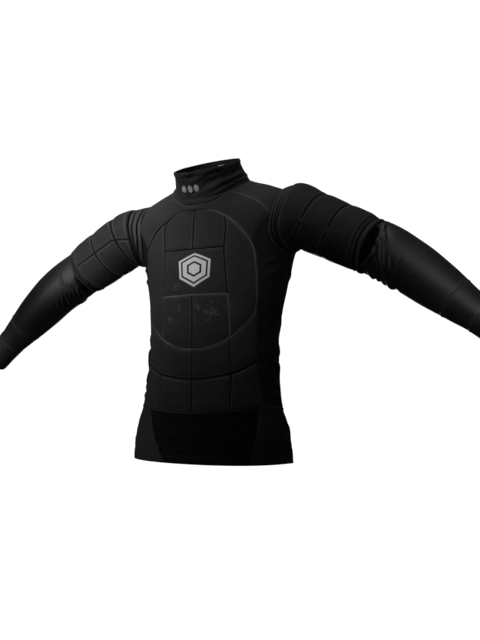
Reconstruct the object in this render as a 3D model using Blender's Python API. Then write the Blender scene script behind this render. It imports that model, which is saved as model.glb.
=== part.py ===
"""Padded compression shirt, worn shape, standing collar, padded short over-sleeves on long under-sleeves.

Metres, +Z up. The front faces -Y and the wearer's left is +X. The origin lies in the neck, level with
its side points, over the middle of the body's width. Cloth is a wall from an inner face, which follows
the wearer, to an outer face moved out along its normal.
"""
import math

import bpy
import numpy as np
from mathutils.geometry import delaunay_2d_cdt

# Cloth and seams
SEAM_GAP = 0.00036
PLAIN = 0.0022
PAD = 0.0082
PAD_SEAM = 0.0040
QUILT_EDGE = 0.0075
STRIP = 0.0024
UNDER = 0.0017
BAND = 0.0050
COLLAR = 0.0026
COLLAR_RIM = 0.0044
LABEL = 0.0010

# Flat pattern: metres per radian of turn round the body
FLAT = 0.165
TOP = 0.715

# Body rings: height of the front, side and back, half width, front and back depth, squareness
BODY_COLUMNS = "level front side back half_width front_y back_y square"
BODY = [
    (0.000, -0.641, -0.634, -0.641, 0.197, -0.094, 0.106, 0.03),
    (0.050, -0.590, -0.590, -0.590, 0.194, -0.088, 0.090, 0.03),
    (0.130, -0.510, -0.510, -0.510, 0.178, -0.083, 0.075, 0.00),
    (0.220, -0.420, -0.420, -0.420, 0.166, -0.086, 0.083, -0.01),
    (0.320, -0.320, -0.320, -0.320, 0.161, -0.091, 0.102, 0.015),
    (0.410, -0.230, -0.230, -0.230, 0.177, -0.097, 0.115, 0.01),
    (0.468, -0.180, -0.172, -0.185, 0.187, -0.098, 0.121, 0.02),
    (0.530, -0.140, -0.110, -0.140, 0.198, -0.096, 0.117, 0.04),
    (0.580, -0.108, -0.060, -0.090, 0.203, -0.095, 0.109, 0.04),
    (0.618, -0.088, -0.027, -0.048, 0.190, -0.094, 0.099, 0.02),
    (0.660, -0.073, -0.008, -0.010, 0.150, -0.092, 0.082, 0.00),
    (0.715, -0.060, 0.006, 0.020, 0.102, -0.089, 0.054, 0.00),
]

# Folds pressed out of the body's cloth: start and end turn and level, half width, height
FOLD_COLUMNS = "turn_a level_a turn_b level_b width height"
BODY_FOLDS = [
    (64, 0.318, 102, 0.240, 0.010, 0.0026),
    (62, 0.276, 100, 0.196, 0.011, 0.0032),
    (63, 0.230, 92, 0.158, 0.009, 0.0024),
    (74, 0.366, 112, 0.302, 0.012, 0.0022),
    (88, 0.112, 118, 0.056, 0.011, 0.0030),
    (74, 0.074, 104, 0.022, 0.010, 0.0026),
    (132, 0.300, 166, 0.232, 0.013, 0.0030),
    (128, 0.236, 160, 0.176, 0.012, 0.0026),
    (140, 0.420, 170, 0.380, 0.014, 0.0024),
    (-66, 0.306, -100, 0.232, 0.011, 0.0028),
    (-62, 0.262, -98, 0.186, 0.010, 0.0030),
    (-76, 0.352, -114, 0.296, 0.012, 0.0022),
    (-86, 0.104, -116, 0.050, 0.011, 0.0028),
    (-134, 0.286, -168, 0.222, 0.013, 0.0028),
    (-130, 0.224, -158, 0.168, 0.012, 0.0024),
]

# Seams and quilting on one half of the body, as turn from centre front and level
SIDE_SEAM = [(48.5, 0.557), (43.8, 0.540), (40.6, 0.521), (41.8, 0.501), (46.0, 0.474), (50.2, 0.446),
             (54.0, 0.400), (56.5, 0.352), (58.6, 0.290), (58.8, 0.230), (58.2, 0.180)]
SIDE_FOOT = (58.7, 0.129)
SHOULDER_NECK = (48.0, TOP)
SHOULDER_SEAM = [(48.8, 0.690), (48.4, 0.660), (47.9, 0.635), (48.0, 0.615), (49.6, 0.598)]
PAD_FOOT = [(44.0, 0.1222), (31.0, 0.1175), (15.0, 0.1135), (0.0, 0.112)]
BACK_SEAM = [(119.0, 0.470), (122.0, 0.400), (124.0, 0.300), (124.5, 0.210)]
BACK_FOOT = (124.0, 0.126)
BACK_HEM = (122.0, 0.0)
GUSSET_TOP = [(70.0, 0.1285), (82.0, 0.1270), (96.0, 0.1255), (110.0, 0.1255)]
HEM_SEAM_LEFT = [(56.0, 0.1283), (53.2, 0.099), (48.6, 0.066), (45.2, 0.034), (43.5, 0.0)]
HEM_SEAM_RIGHT = [(-46.0, 0.1240), (-38.5, 0.096), (-31.0, 0.066), (-25.5, 0.040), (-21.5, 0.020), (-17.5, 0.0)]
EGG_TOP = [(0, 0.668), (6, 0.667), (11, 0.661), (15.5, 0.644), (18.6, 0.619), (22.4, 0.592), (27.5, 0.562),
           (34.2, 0.530), (41.0, 0.498), (46.6, 0.466), (51.0, 0.440)]
EGG_FOOT = [(57.0, 0.352), (53.2, 0.336), (48.0, 0.317), (41.5, 0.300), (31.9, 0.279), (19.8, 0.263),
            (8.0, 0.2545), (0, 0.2535)]
COLUMN = [(19.6, 0.606), (21.4, 0.495), (25.0, 0.430), (28.4, 0.375), (31.9, 0.281), (33.4, 0.198),
          (29.8, 0.113)]
CENTRE_TOP = [(0, 0.668), (0, 0.495)]
CENTRE_FOOT = [(0, 0.375), (0, 0.110)]
BAR_TOP = [(-21.4, 0.495), (21.4, 0.495)]
BAR_FOOT = [(-28.4, 0.375), (28.4, 0.375)]
SMILE = [(60, 0.231), (46.6, 0.212), (33.4, 0.199), (16, 0.190), (0, 0.186)]

# Armhole, an oval on the body: turn and level of its middle, half sizes
ARMHOLE = {"turn": 85.0, "level": 0.549, "half_turn": 33.0, "half_level": 0.081}
# Places round a sleeve, in degrees: 0 faces front, 90 up, 180 back
ROUND = [0, 7, 18, 36, 54, 72, 90, 108, 126, 144, 162, 180, 198, 216, 234, 252, 270, 288, 306, 324, 342, 353]
FRONT_JOINT = ROUND.index(18)
BACK_JOINT = ROUND.index(198)

# Arms: the axis starts in the armhole, falls, and bends at the elbow
ARM = {"out": 0.2117, "front": -0.0221, "swing": 1.0, "fore_swing": -1.8}
# The two arms hang a little differently: start height, fall of the upper arm and of the forearm, by side
ARM_POSE = {1: {"height": -0.0820, "fall": 26.4, "fore_fall": 38.3},
            -1: {"height": -0.0900, "fall": 27.8, "fore_fall": 38.8}}
# How quickly each over-sleeve's cap rises from the armhole on top, and how far it bulges there
CAP_SHAPE = {1: (1.5, 0.0060), -1: (0.75, 0.0010)}
# Rise of the under-sleeve just below the band, on top of the arm
TOP_LIFT = {1: 0.0036, -1: 0.0012}
BEND_START = 0.200
BEND_LENGTH = 0.140
CAP_END = 0.042
STRIP_GROOVE = 0.21
PAD_START = 0.36
# The near over-sleeve has slid further down its arm than the other. For each: its seams, the ends of its pads
# and of its band along the arm, its rows over the shoulder and along the arm, and the hidden rows inside it
SLEEVES = {
    1: {"seams": [0.061, 0.125], "pad_end": 0.187, "band_end": 0.210,
        "cap": [PAD_START, 0.44, 0.60, 0.80], "rows": [0.051, 0.061, 0.071, 0.093, 0.115, 0.125, 0.135, 0.162],
        "hidden": [0.090, 0.140, 0.190, 0.207]},
    -1: {"seams": [0.031, 0.095], "pad_end": 0.160, "band_end": 0.1765,
         "cap": [PAD_START, 0.44, 0.60, 0.77, 0.87], "rows": [0.063, 0.085, 0.095, 0.105, 0.130],
         "hidden": [0.090, 0.140, 0.174]},
}
# Inner radius of the over-sleeve along the arm
OVER_COLUMNS = "along radius"
OVER = [(0.042, 0.0605), (0.075, 0.0602), (0.108, 0.0588), (0.140, 0.0580), (0.172, 0.0568), (0.201, 0.0560)]
# Outer radius of the under-sleeve below the band, with the gathers that its cloth pushes up there
FOREARM_COLUMNS = "along radius"
FOREARM = {
    1: [(0.2106, 0.0553), (0.2150, 0.0560), (0.227, 0.0562), (0.237, 0.0602), (0.248, 0.0576), (0.260, 0.0594),
        (0.276, 0.0570), (0.296, 0.0564), (0.318, 0.0552), (0.340, 0.0536), (0.362, 0.0518), (0.384, 0.0492),
        (0.402, 0.0466), (0.416, 0.0445)],
    -1: [(0.182, 0.0558), (0.194, 0.0574), (0.206, 0.0564), (0.220, 0.0594), (0.234, 0.0574), (0.250, 0.0594),
         (0.270, 0.0572), (0.296, 0.0564), (0.318, 0.0552), (0.340, 0.0536), (0.362, 0.0518), (0.384, 0.0492),
         (0.402, 0.0466), (0.416, 0.0445)],
}
WRIST = [(0.416, 0.0445), (0.430, 0.0424), (0.446, 0.0400), (0.462, 0.0376), (0.478, 0.0358)]
CUFF_SLEEVE = [(0.478, 0.0362), (0.496, 0.0355), (0.522, 0.0348), (0.556, 0.0344)]

# Collar: rim ring, and the rows between neck seam and rim
RIM = {"middle_y": -0.050, "half_width": 0.0735, "half_depth": 0.0725, "height": 0.0495, "tilt": 0.50}
COLLAR_STEP = 12
COLLAR_ROWS = [0.0, 0.07, 0.15, 0.25, 0.36, 0.47, 0.58, 0.69, 0.80, 0.90, 0.95, 1.0]
COLLAR_CURL = 0.016
COLLAR_FOLDS = [
    (-6, 0.42, 42, 0.84, 0.0065, 0.0034),
    (36, 0.46, 104, 0.66, 0.0070, 0.0042),
    (30, 0.16, 112, 0.20, 0.0060, 0.0026),
    (-24, 0.66, -66, 0.40, 0.0070, 0.0032),
    (-62, 0.20, -116, 0.30, 0.0070, 0.0034),
    (-100, 0.62, -150, 0.48, 0.0070, 0.0030),
    (126, 0.34, 172, 0.52, 0.0075, 0.0034),
    (150, 0.16, 208, 0.24, 0.0070, 0.0028),
]
LABEL_TURNS = [170, 176.5, 183.5, 190]
LABEL_ROWS = [0.66, 0.74, 0.82, 0.90]

# Look: sRGB colour, roughness
CLOTHS = {
    "padded_cloth": ((0.145, 0.145, 0.145), 0.85),
    "back_cloth": ((0.150, 0.150, 0.150), 0.82),
    "side_mesh": ((0.045, 0.045, 0.047), 0.75),
    "hem_mesh": ((0.030, 0.030, 0.032), 0.80),
    "gusset_cloth": ((0.075, 0.075, 0.078), 0.72),
    "collar_cloth": ((0.135, 0.135, 0.137), 0.70),
    "strip_cloth": ((0.080, 0.080, 0.082), 0.70),
    "sleeve_cloth": ((0.090, 0.090, 0.094), 0.38),
    "cuff_cloth": ((0.080, 0.080, 0.083), 0.45),
    "label_cloth": ((0.720, 0.720, 0.705), 0.70),
}


def clear_scene():
    for item in list(bpy.data.objects):
        bpy.data.objects.remove(item, do_unlink=True)


def linear(value):
    if value <= 0.04045:
        return value / 12.92
    return ((value + 0.055) / 1.055) ** 2.4


def cloth(name):
    made = bpy.data.materials.get(name)
    if made:
        return made
    colour, roughness = CLOTHS[name]
    made = bpy.data.materials.new(name)
    made.use_nodes = True
    shader = made.node_tree.nodes["Principled BSDF"]
    shader.inputs["Base Color"].default_value = (*[linear(c) for c in colour], 1.0)
    shader.inputs["Roughness"].default_value = roughness
    shader.inputs["Metallic"].default_value = 0.0
    made.diffuse_color = (*[linear(c) for c in colour], 1.0)
    return made


def rows_at(rows, place):
    """Values of a table's columns at a place in its first column, on a smooth curve."""
    table = np.asarray(rows, float)
    key = table[:, 0]
    step = np.diff(key)
    rise = np.diff(table[:, 1:], axis=0) / step[:, None]
    slope = np.empty_like(table[:, 1:])
    slope[0] = rise[0]
    slope[-1] = rise[-1]
    weight = (step[:-1] + step[1:])[:, None]
    slope[1:-1] = (rise[:-1] * step[1:, None] + rise[1:] * step[:-1, None]) / weight
    place = np.clip(np.asarray(place, float), key[0], key[-1])
    index = np.clip(np.searchsorted(key, place, side="right") - 1, 0, len(key) - 2)
    part = ((place - key[index]) / step[index])[..., None]
    width = step[index][..., None]
    low = table[index, 1:]
    high = table[index + 1, 1:]
    curve = low * (1 + 2 * part) * (1 - part) ** 2 + high * part * part * (3 - 2 * part)
    lean = slope[index] * part * (1 - part) ** 2 + slope[index + 1] * part * part * (part - 1)
    return curve + width * lean


def smooth(value):
    value = np.clip(value, 0.0, 1.0)
    return value * value * (3 - 2 * value)


def flat(turn, level):
    return np.stack([np.radians(turn) * FLAT, level], -1)


def distance_to(points, start, end):
    """Distance of each point to its nearest of some stretches."""
    run = end - start
    offset = points[:, None, :] - start[None]
    share = (offset * run).sum(-1) / np.maximum((run * run).sum(-1), 1e-12)
    share = np.clip(share, 0.0, 1.0)
    away = offset - share[..., None] * run
    return np.sqrt((away * away).sum(-1)).min(1)


def fold_rise(points, folds):
    """Height that the folds add at points of a flat pattern; a fold fades toward its two ends."""
    total = np.zeros(len(points))
    for start, end, width, height in folds:
        run = end - start
        length = math.hypot(*run)
        unit = run / length
        along = (points - start) @ unit
        across = (points - start) @ np.array([-unit[1], unit[0]])
        share = along / length
        ends = smooth((share + 0.15) / 0.35) * smooth((1.15 - share) / 0.35)
        total += height * ends * np.exp(-(across / width) ** 2)
    return total


BODY_FOLD_LINES = [
    (np.array([math.radians(a) * FLAT, b]), np.array([math.radians(c) * FLAT, d]), width, height)
    for a, b, c, d, width, height in BODY_FOLDS
]


def bare_body(turn, level):
    turn, level = np.broadcast_arrays(np.radians(np.asarray(turn, float)), np.asarray(level, float))
    front, side, back, half_width, front_y, back_y, square = np.moveaxis(rows_at(BODY, level), -1, 0)
    sine = np.sin(turn)
    cosine = np.cos(turn)
    across = half_width * (sine + square * np.sin(3 * turn)) / (1 - square)
    depth = (cosine - square * np.cos(3 * turn)) / (1 - square)
    middle = (front_y + back_y) / 2
    y = np.where(depth > 0, middle + (front_y - middle) * depth, middle - (back_y - middle) * depth)
    z = side + np.where(cosine > 0, front - side, back - side) * np.abs(cosine) ** 1.6
    return np.stack([across, y, z], -1)


def normal_of(surface, turn, level, low, high):
    turn = np.asarray(turn, float)
    level = np.asarray(level, float)
    sideways = surface(turn + 0.6, level) - surface(turn - 0.6, level)
    upward = surface(turn, np.minimum(level + 0.003, high)) - surface(turn, np.maximum(level - 0.003, low))
    normal = np.cross(sideways, upward)
    return normal / np.linalg.norm(normal, axis=-1, keepdims=True)


def body(turn, level):
    """Inner face of the body's cloth at a turn from centre front and a level, with its folds."""
    turn, level = np.broadcast_arrays(np.asarray(turn, float), np.asarray(level, float))
    points = bare_body(turn, level)
    wrapped = (turn + 180.0) % 360.0 - 180.0
    plane = flat(wrapped, level).reshape(-1, 2)
    rise = fold_rise(plane, BODY_FOLD_LINES).reshape(turn.shape)
    return points + normal_of(bare_body, turn, level, 0.0, TOP) * rise[..., None]


def body_normal(turn, level):
    return normal_of(bare_body, turn, level, 0.0, TOP)


def add_mesh(name, points, faces, material):
    mesh = bpy.data.meshes.new(name)
    mesh.from_pydata([tuple(float(c) for c in p) for p in points], [], faces)
    mesh.validate()
    mesh.update()
    made = bpy.data.objects.new(name, mesh)
    mesh.materials.append(cloth(material))
    bpy.context.scene.collection.objects.link(made)
    return made


def mirrored(line):
    return [(-turn, level) for turn, level in line]


def behind(line):
    return [(360.0 - turn, level) for turn, level in line]


def even(line, spacing):
    """The same line with points about one spacing apart, its own points kept."""
    out = []
    for (turn_a, level_a), (turn_b, level_b) in zip(line[:-1], line[1:]):
        length = math.hypot(math.radians(turn_b - turn_a) * FLAT, level_b - level_a)
        count = max(1, round(length / spacing))
        for index in range(count):
            share = index / count
            out.append((turn_a + (turn_b - turn_a) * share, level_a + (level_b - level_a) * share))
    out.append(line[-1])
    return out


def joined(*lines):
    """One closed outline from lines that share their end points."""
    out = []
    for line in lines:
        for point in line:
            if not out or math.dist(point, out[-1]) > 1e-9:
                out.append(tuple(point))
    if math.dist(out[0], out[-1]) < 1e-9:
        out.pop()
    return out


def inset(outline, distance):
    area = 0.0
    for a, b in zip(outline, np.roll(outline, -1, axis=0)):
        area += a[0] * b[1] - b[0] * a[1]
    if area < 0:
        outline = outline[::-1]
    before = outline - np.roll(outline, 1, axis=0)
    after = np.roll(outline, -1, axis=0) - outline
    before /= np.linalg.norm(before, axis=1, keepdims=True)
    after /= np.linalg.norm(after, axis=1, keepdims=True)
    left_before = np.stack([-before[:, 1], before[:, 0]], 1)
    left_after = np.stack([-after[:, 1], after[:, 0]], 1)
    middle = left_before + left_after
    scale = distance / np.maximum(1 + (left_before * left_after).sum(1), 0.05)
    return outline + middle * scale[:, None]


def inside(points, outline):
    x, y = points[:, 0], points[:, 1]
    result = np.zeros(len(points), bool)
    for (xa, ya), (xb, yb) in zip(outline, np.roll(outline, -1, axis=0)):
        crosses = (ya > y) != (yb > y)
        with np.errstate(divide="ignore", invalid="ignore"):
            at = (xb - xa) * (y - ya) / (yb - ya) + xa
        result ^= crosses & (x < at)
    return result


def panel(name, outline, spacing, material, grooves=()):
    """A cut panel of body cloth. Grooves are quilting lines, and a panel with none is plain."""
    edge = inset(np.array([flat(t, l) for t, l in outline]), SEAM_GAP / 2)
    ends = np.roll(edge, -1, axis=0)
    kept = [tuple(p) for p in edge]
    links = [(i, (i + 1) % len(edge)) for i in range(len(edge))]
    starts = []
    stops = []
    for line in grooves:
        line = np.array([flat(t, l) for t, l in line])
        starts.append(line[:-1])
        stops.append(line[1:])
    if grooves:
        starts = np.concatenate(starts)
        stops = np.concatenate(stops)
    inner = []
    for line in grooves:
        dense = np.array([flat(t, l) for t, l in even(line, spacing * 0.85)])
        good = inside(dense, edge) & (distance_to(dense, edge, ends) > 0.004)
        last = None
        for point, use in zip(dense, good):
            near = use and inner and np.hypot(*(np.array(inner) - point).T).min() < 0.0035
            if near:
                index = len(edge) + int(np.hypot(*(np.array(inner) - point).T).argmin())
            elif use:
                index = len(kept)
                kept.append(tuple(point))
                inner.append(point)
            else:
                index = None
            if last is not None and index is not None and index != last:
                links.append((last, index))
            last = index
    sides = []
    for line in grooves:
        dense = np.array([flat(t, l) for t, l in even(line, spacing * 0.85)])
        run = np.gradient(dense, axis=0)
        run /= np.maximum(np.linalg.norm(run, axis=1, keepdims=True), 1e-9)
        across = np.stack([-run[:, 1], run[:, 0]], 1) * QUILT_EDGE
        sides.extend(dense + across)
        sides.extend(dense - across)
    low, high = edge.min(0), edge.max(0)
    row = 0
    level = low[1] + spacing * 0.5
    grid = []
    while level < high[1]:
        place = low[0] + spacing * (0.25 if row % 2 else 0.75)
        while place < high[0]:
            grid.append((place, level))
            place += spacing
        level += spacing * 0.87
        row += 1
    pools = [(sides, 0.0050, QUILT_EDGE * 0.85), (grid, spacing * 0.42, spacing * 0.55)]
    for pool, from_edge, from_groove in pools:
        if not len(pool):
            continue
        pool = np.array(pool)
        good = inside(pool, edge) & (distance_to(pool, edge, ends) > from_edge)
        if grooves:
            good &= distance_to(pool, starts, stops) > from_groove
        for point in pool[good]:
            others = np.array(kept[len(edge):]) if len(kept) > len(edge) else np.zeros((0, 2))
            least = 0.0048 if pool is not None and from_groove < spacing * 0.5 and len(sides) else spacing * 0.5
            if len(others) and np.hypot(*(others - point).T).min() < least:
                continue
            kept.append(tuple(point))
    found = delaunay_2d_cdt([tuple(p) for p in kept], links, [list(range(len(edge)))], 1, 1e-6)
    plane = np.array([tuple(v) for v in found[0]])
    triangles = [tuple(f) for f in found[2]]
    turn = np.degrees(plane[:, 0] / FLAT)
    level = plane[:, 1]
    height = np.full(len(plane), PLAIN)
    if grooves:
        away = np.minimum(distance_to(plane, starts, stops), distance_to(plane, edge, ends))
        height = PAD_SEAM + (PAD - PAD_SEAM) * smooth(away / QUILT_EDGE)
    under = body(turn, level)
    over = under + body_normal(turn, level) * height[:, None]
    count = len(plane)
    faces = [tri for tri in triangles]
    faces += [(c + count, b + count, a + count) for a, b, c in triangles]
    used = {}
    for a, b, c in triangles:
        for pair in ((a, b), (b, c), (c, a)):
            used[pair] = True
    for a, b in used:
        if (b, a) not in used:
            faces.append((b, a, a + count))
            faces.append((b, a + count, b + count))
    return add_mesh(name, np.concatenate([over, under]), faces, material)


def grid_normals(rows):
    """Outward normals of a grid of closed rings."""
    around = np.roll(rows, -1, axis=1) - np.roll(rows, 1, axis=1)
    along = np.gradient(rows, axis=0)
    normal = np.cross(around, along)
    normal /= np.maximum(np.linalg.norm(normal, axis=-1, keepdims=True), 1e-12)
    centre = rows.mean(axis=1, keepdims=True)
    if ((rows - centre) * normal).sum() < 0:
        normal = -normal
    return normal


def tube(name, under, over, material):
    """A closed wall between two grids of rings, the first inside the second."""
    count, around = under.shape[:2]
    total = count * around
    centre = over.mean(axis=1, keepdims=True)
    turning = np.cross(np.roll(over, -1, axis=1) - over, np.gradient(over, axis=0))
    outward = ((over - centre) * turning).sum() > 0
    faces = []
    for row in range(count - 1):
        for place in range(around):
            after = (place + 1) % around
            a = row * around + place
            b = row * around + after
            c = (row + 1) * around + after
            d = (row + 1) * around + place
            faces += [(a, b, c), (a, c, d)]
            faces += [(total + a, total + c, total + b), (total + a, total + d, total + c)]
    for place in range(around):
        after = (place + 1) % around
        last = (count - 1) * around
        faces += [(place, total + place, after), (after, total + place, total + after)]
        faces += [(last + place, last + after, total + last + place)]
        faces += [(last + after, total + last + after, total + last + place)]
    if not outward:
        faces = [face[::-1] for face in faces]
    return add_mesh(name, np.concatenate([over.reshape(-1, 3), under.reshape(-1, 3)]), faces, material)


def armhole(side):
    """Points round the armhole on the body, with the places of ROUND."""
    angle = np.radians(ROUND)
    turn = ARMHOLE["turn"] - ARMHOLE["half_turn"] * np.cos(angle)
    level = ARMHOLE["level"] + ARMHOLE["half_level"] * np.sin(angle)
    return [(side * float(t), float(l)) for t, l in zip(turn, level)]


def armhole_line(side, first, last):
    """Stretch of the armhole from one place to another, upward round the front."""
    points = armhole(side)
    count = len(points)
    line = [points[first]]
    index = first
    while index != last:
        index = (index + 1) % count
        line.append(points[index])
    return line


def arm_axis(side, along):
    pose = ARM_POSE[side]
    fall, swing = math.radians(pose["fall"]), math.radians(ARM["swing"])
    fore_fall, fore_swing = math.radians(pose["fore_fall"]), math.radians(ARM["fore_swing"])
    upper = np.array([side * math.cos(fall) * math.cos(swing), -math.cos(fall) * math.sin(swing), -math.sin(fall)])
    fore = np.array([side * math.cos(fore_fall) * math.cos(fore_swing),
                     -math.cos(fore_fall) * math.sin(fore_swing), -math.sin(fore_fall)])
    share = min(max((along - BEND_START) / BEND_LENGTH, 0.0), 1.0)
    turned = BEND_LENGTH * (share ** 3 - share ** 4 / 2) + max(along - BEND_START - BEND_LENGTH, 0.0)
    start = np.array([side * ARM["out"], ARM["front"], pose["height"]])
    mix = share * share * (3 - 2 * share)
    aim = upper * (1 - mix) + fore * mix
    return start + upper * (along - turned) + fore * turned, aim / np.linalg.norm(aim)


def arm_ring(side, along, radius):
    centre, aim = arm_axis(side, along)
    front = np.array([0.0, -1.0, 0.0])
    front -= aim * (front @ aim)
    front /= np.linalg.norm(front)
    up = np.cross(front, aim) * side
    if up[2] < 0:
        up = -up
    angle = np.radians(ROUND)
    radius = np.broadcast_to(radius, angle.shape)[:, None]
    return centre + radius * (np.cos(angle)[:, None] * front + np.sin(angle)[:, None] * up)


def cap_ring(side, share):
    """Inner face between the armhole, at 0, and the first whole ring of the over-sleeve, at 1."""
    edge = armhole(side)
    start = body([t for t, _ in edge], [l for _, l in edge])
    base, aim = arm_axis(side, 0.0)
    axial = (start - base) @ aim
    radial = start - base - axial[:, None] * aim
    ring = arm_ring(side, 0.0, float(rows_at(OVER, CAP_END)[0])) - base
    angle = np.radians(ROUND)
    over = np.maximum(np.sin(angle), 0.0)
    power = 1.35 + CAP_SHAPE[side][0] * over
    mix = (1 - (1 - share) ** power)[:, None]
    bulge = CAP_SHAPE[side][1] * math.sin(math.pi * min(share, 1.0)) * over[:, None]
    unit = ring / np.linalg.norm(ring, axis=1, keepdims=True)
    place = axial + (CAP_END - axial) * share
    return base + place[:, None] * aim + radial * (1 - mix) + ring * mix + unit * bulge


def over_ring(side, along):
    return arm_ring(side, along, float(rows_at(OVER, along)[0]))


def nudged(row, toward, distance):
    step = toward - row
    return row + step / np.linalg.norm(step, axis=1, keepdims=True) * distance


def bottom_share():
    """How far each place round a sleeve lies under the arm, from 0 to 1."""
    return smooth((-np.sin(np.radians(ROUND)) - 0.1) / 0.9)


def pad_height(side, row):
    """Thickness of the over-sleeve round a row of its points: thin at its seams and under the arm."""
    base, aim = arm_axis(side, 0.0)
    along = (row - base) @ aim
    seam = np.min([smooth(np.abs(along - place) / 0.0100) for place in SLEEVES[side]["seams"]], axis=0)
    long_seam = smooth(np.array([min(a, 360 - a) for a in ROUND]) / 7.0)
    full = PAD * (1 - 0.35 * bottom_share())
    return PAD_SEAM + (full - PAD_SEAM) * seam * long_seam


def strip(side, word):
    shares = [0.0, 0.10, STRIP_GROOVE, 0.29, PAD_START]
    rows = np.stack([cap_ring(side, share) for share in shares])
    rows[0] = nudged(rows[0], rows[1], SEAM_GAP / 2)
    rows[-1] = nudged(rows[-1], rows[-2], SEAM_GAP / 2)
    normal = grid_normals(rows)
    edge = armhole(side)
    normal[0] = body_normal([t for t, _ in edge], [l for _, l in edge])
    height = STRIP * np.array([1.0, 1.2, 0.62, 1.2, 1.0])
    return tube(f"armhole_strip_{word}", rows, rows + normal * height[:, None, None], "strip_cloth")


def over_sleeve(side, word):
    sleeve = SLEEVES[side]
    rows = [cap_ring(side, share) for share in sleeve["cap"] + [1.0]]
    rows = np.stack(rows + [over_ring(side, along) for along in sleeve["rows"] + [sleeve["pad_end"]]])
    height = np.stack([pad_height(side, row) for row in rows])
    normal = grid_normals(rows)
    rows[0] = nudged(rows[0], rows[1], SEAM_GAP / 2)
    rows[-1] = nudged(rows[-1], rows[-2], SEAM_GAP / 2)
    height[0] = PAD_SEAM * 0.8
    height[1] = PAD_SEAM + (height[1] - PAD_SEAM) * 0.75
    height[-1] = PAD_SEAM
    return tube(f"over_sleeve_{word}", rows, rows + normal * height[..., None], "padded_cloth")


def band(side, word):
    shares = [0.0, 0.25, 0.5, 0.75, 1.0]
    heights = [0.6, 1.0, 0.62, 1.0, 0.55]
    start, end = SLEEVES[side]["pad_end"] + SEAM_GAP / 2, SLEEVES[side]["band_end"]
    places = [start + (end - start) * share for share in shares]
    rows = np.stack([over_ring(side, place) for place in places])
    height = BAND * np.array(heights)
    return tube(f"sleeve_band_{word}", rows, rows + grid_normals(rows) * height[:, None, None], "padded_cloth")


def under_sleeve(side, word):
    """Under-sleeve from the armhole, inside the over-sleeve, to the seam on the forearm."""
    inner = [(0.42, 0.0005), (0.70, 0.0014)]
    rows = [cap_ring(side, 0.36)] + [cap_ring(side, share) for share, _ in inner] + [cap_ring(side, 1.0)]
    clear = [0.0005] + [space for _, space in inner] + [0.0020]
    for along in SLEEVES[side]["hidden"]:
        rows.append(over_ring(side, along))
        clear.append(0.0020 if along < 0.17 else 0.0008)
    rows = np.stack(rows)
    over = (rows - grid_normals(rows) * np.array(clear)[:, None, None])[1:]
    top = np.maximum(np.sin(np.radians(ROUND)), 0.0)
    lower = []
    for along, radius in FOREARM[side]:
        past = along - SLEEVES[side]["band_end"]
        lift = TOP_LIFT[side] * math.exp(-(past / 0.05) ** 2) * float(smooth((past - 0.001) / 0.0035))
        lower.append(arm_ring(side, along, radius + lift * top))
    lower = np.stack(lower)
    over = np.concatenate([over, lower])
    over[-1] = nudged(over[-1], over[-2], SEAM_GAP / 2)
    under = over - grid_normals(over) * UNDER
    return tube(f"under_sleeve_{word}", under, over, "sleeve_cloth")


def ring_sleeve(name, side, table, thickness, material, first_gap, last_gap):
    over = np.stack([arm_ring(side, along, radius) for along, radius in table])
    if first_gap:
        over[0] = nudged(over[0], over[1], SEAM_GAP / 2)
    if last_gap:
        over[-1] = nudged(over[-1], over[-2], SEAM_GAP / 2)
    under = over - grid_normals(over) * thickness
    return tube(name, under, over, material)


def collar_grid():
    turn = np.arange(0, 360, COLLAR_STEP).astype(float)
    base = body(turn, TOP)
    inward = body(turn, TOP) - body(turn, TOP - 0.004)
    inward /= np.linalg.norm(inward, axis=1, keepdims=True)
    sine = np.sin(np.radians(turn))
    cosine = np.cos(np.radians(turn))
    rim_y = RIM["middle_y"] - RIM["half_depth"] * cosine
    rim = np.stack([RIM["half_width"] * sine, rim_y,
                    RIM["height"] + RIM["tilt"] * (rim_y - RIM["middle_y"])], -1)
    base = base + inward * SEAM_GAP * 0.8
    guide = base + inward * COLLAR_CURL
    rows = np.stack([base * (1 - h) ** 2 + guide * 2 * h * (1 - h) + rim * h * h for h in COLLAR_ROWS])
    normal = grid_normals(rows)
    normal[0] = body_normal(turn, np.full(len(turn), TOP))
    lines = [(np.array([math.radians(a) * 0.075, b * 0.078]), np.array([math.radians(c) * 0.075, d * 0.078]), w, h)
             for a, b, c, d, w, h in COLLAR_FOLDS]
    for index, share in enumerate(COLLAR_ROWS):
        fade = float(smooth(share / 0.12) * smooth((1.06 - share) / 0.16))
        for wrap in (0.0, -360.0):
            plane = np.stack([np.radians(turn + wrap) * 0.075, np.full(len(turn), share * 0.078)], -1)
            rows[index] += normal[index] * (fold_rise(plane, lines) * fade)[:, None]
    height = np.array([COLLAR + (COLLAR_RIM - COLLAR) * float(smooth((h - 0.86) / 0.08)) for h in COLLAR_ROWS])
    height[-1] = COLLAR_RIM * 0.72
    return turn, rows, normal, height


def collar():
    turn, rows, normal, height = collar_grid()
    return tube("collar", rows, rows + normal * height[:, None, None], "collar_cloth")


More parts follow.
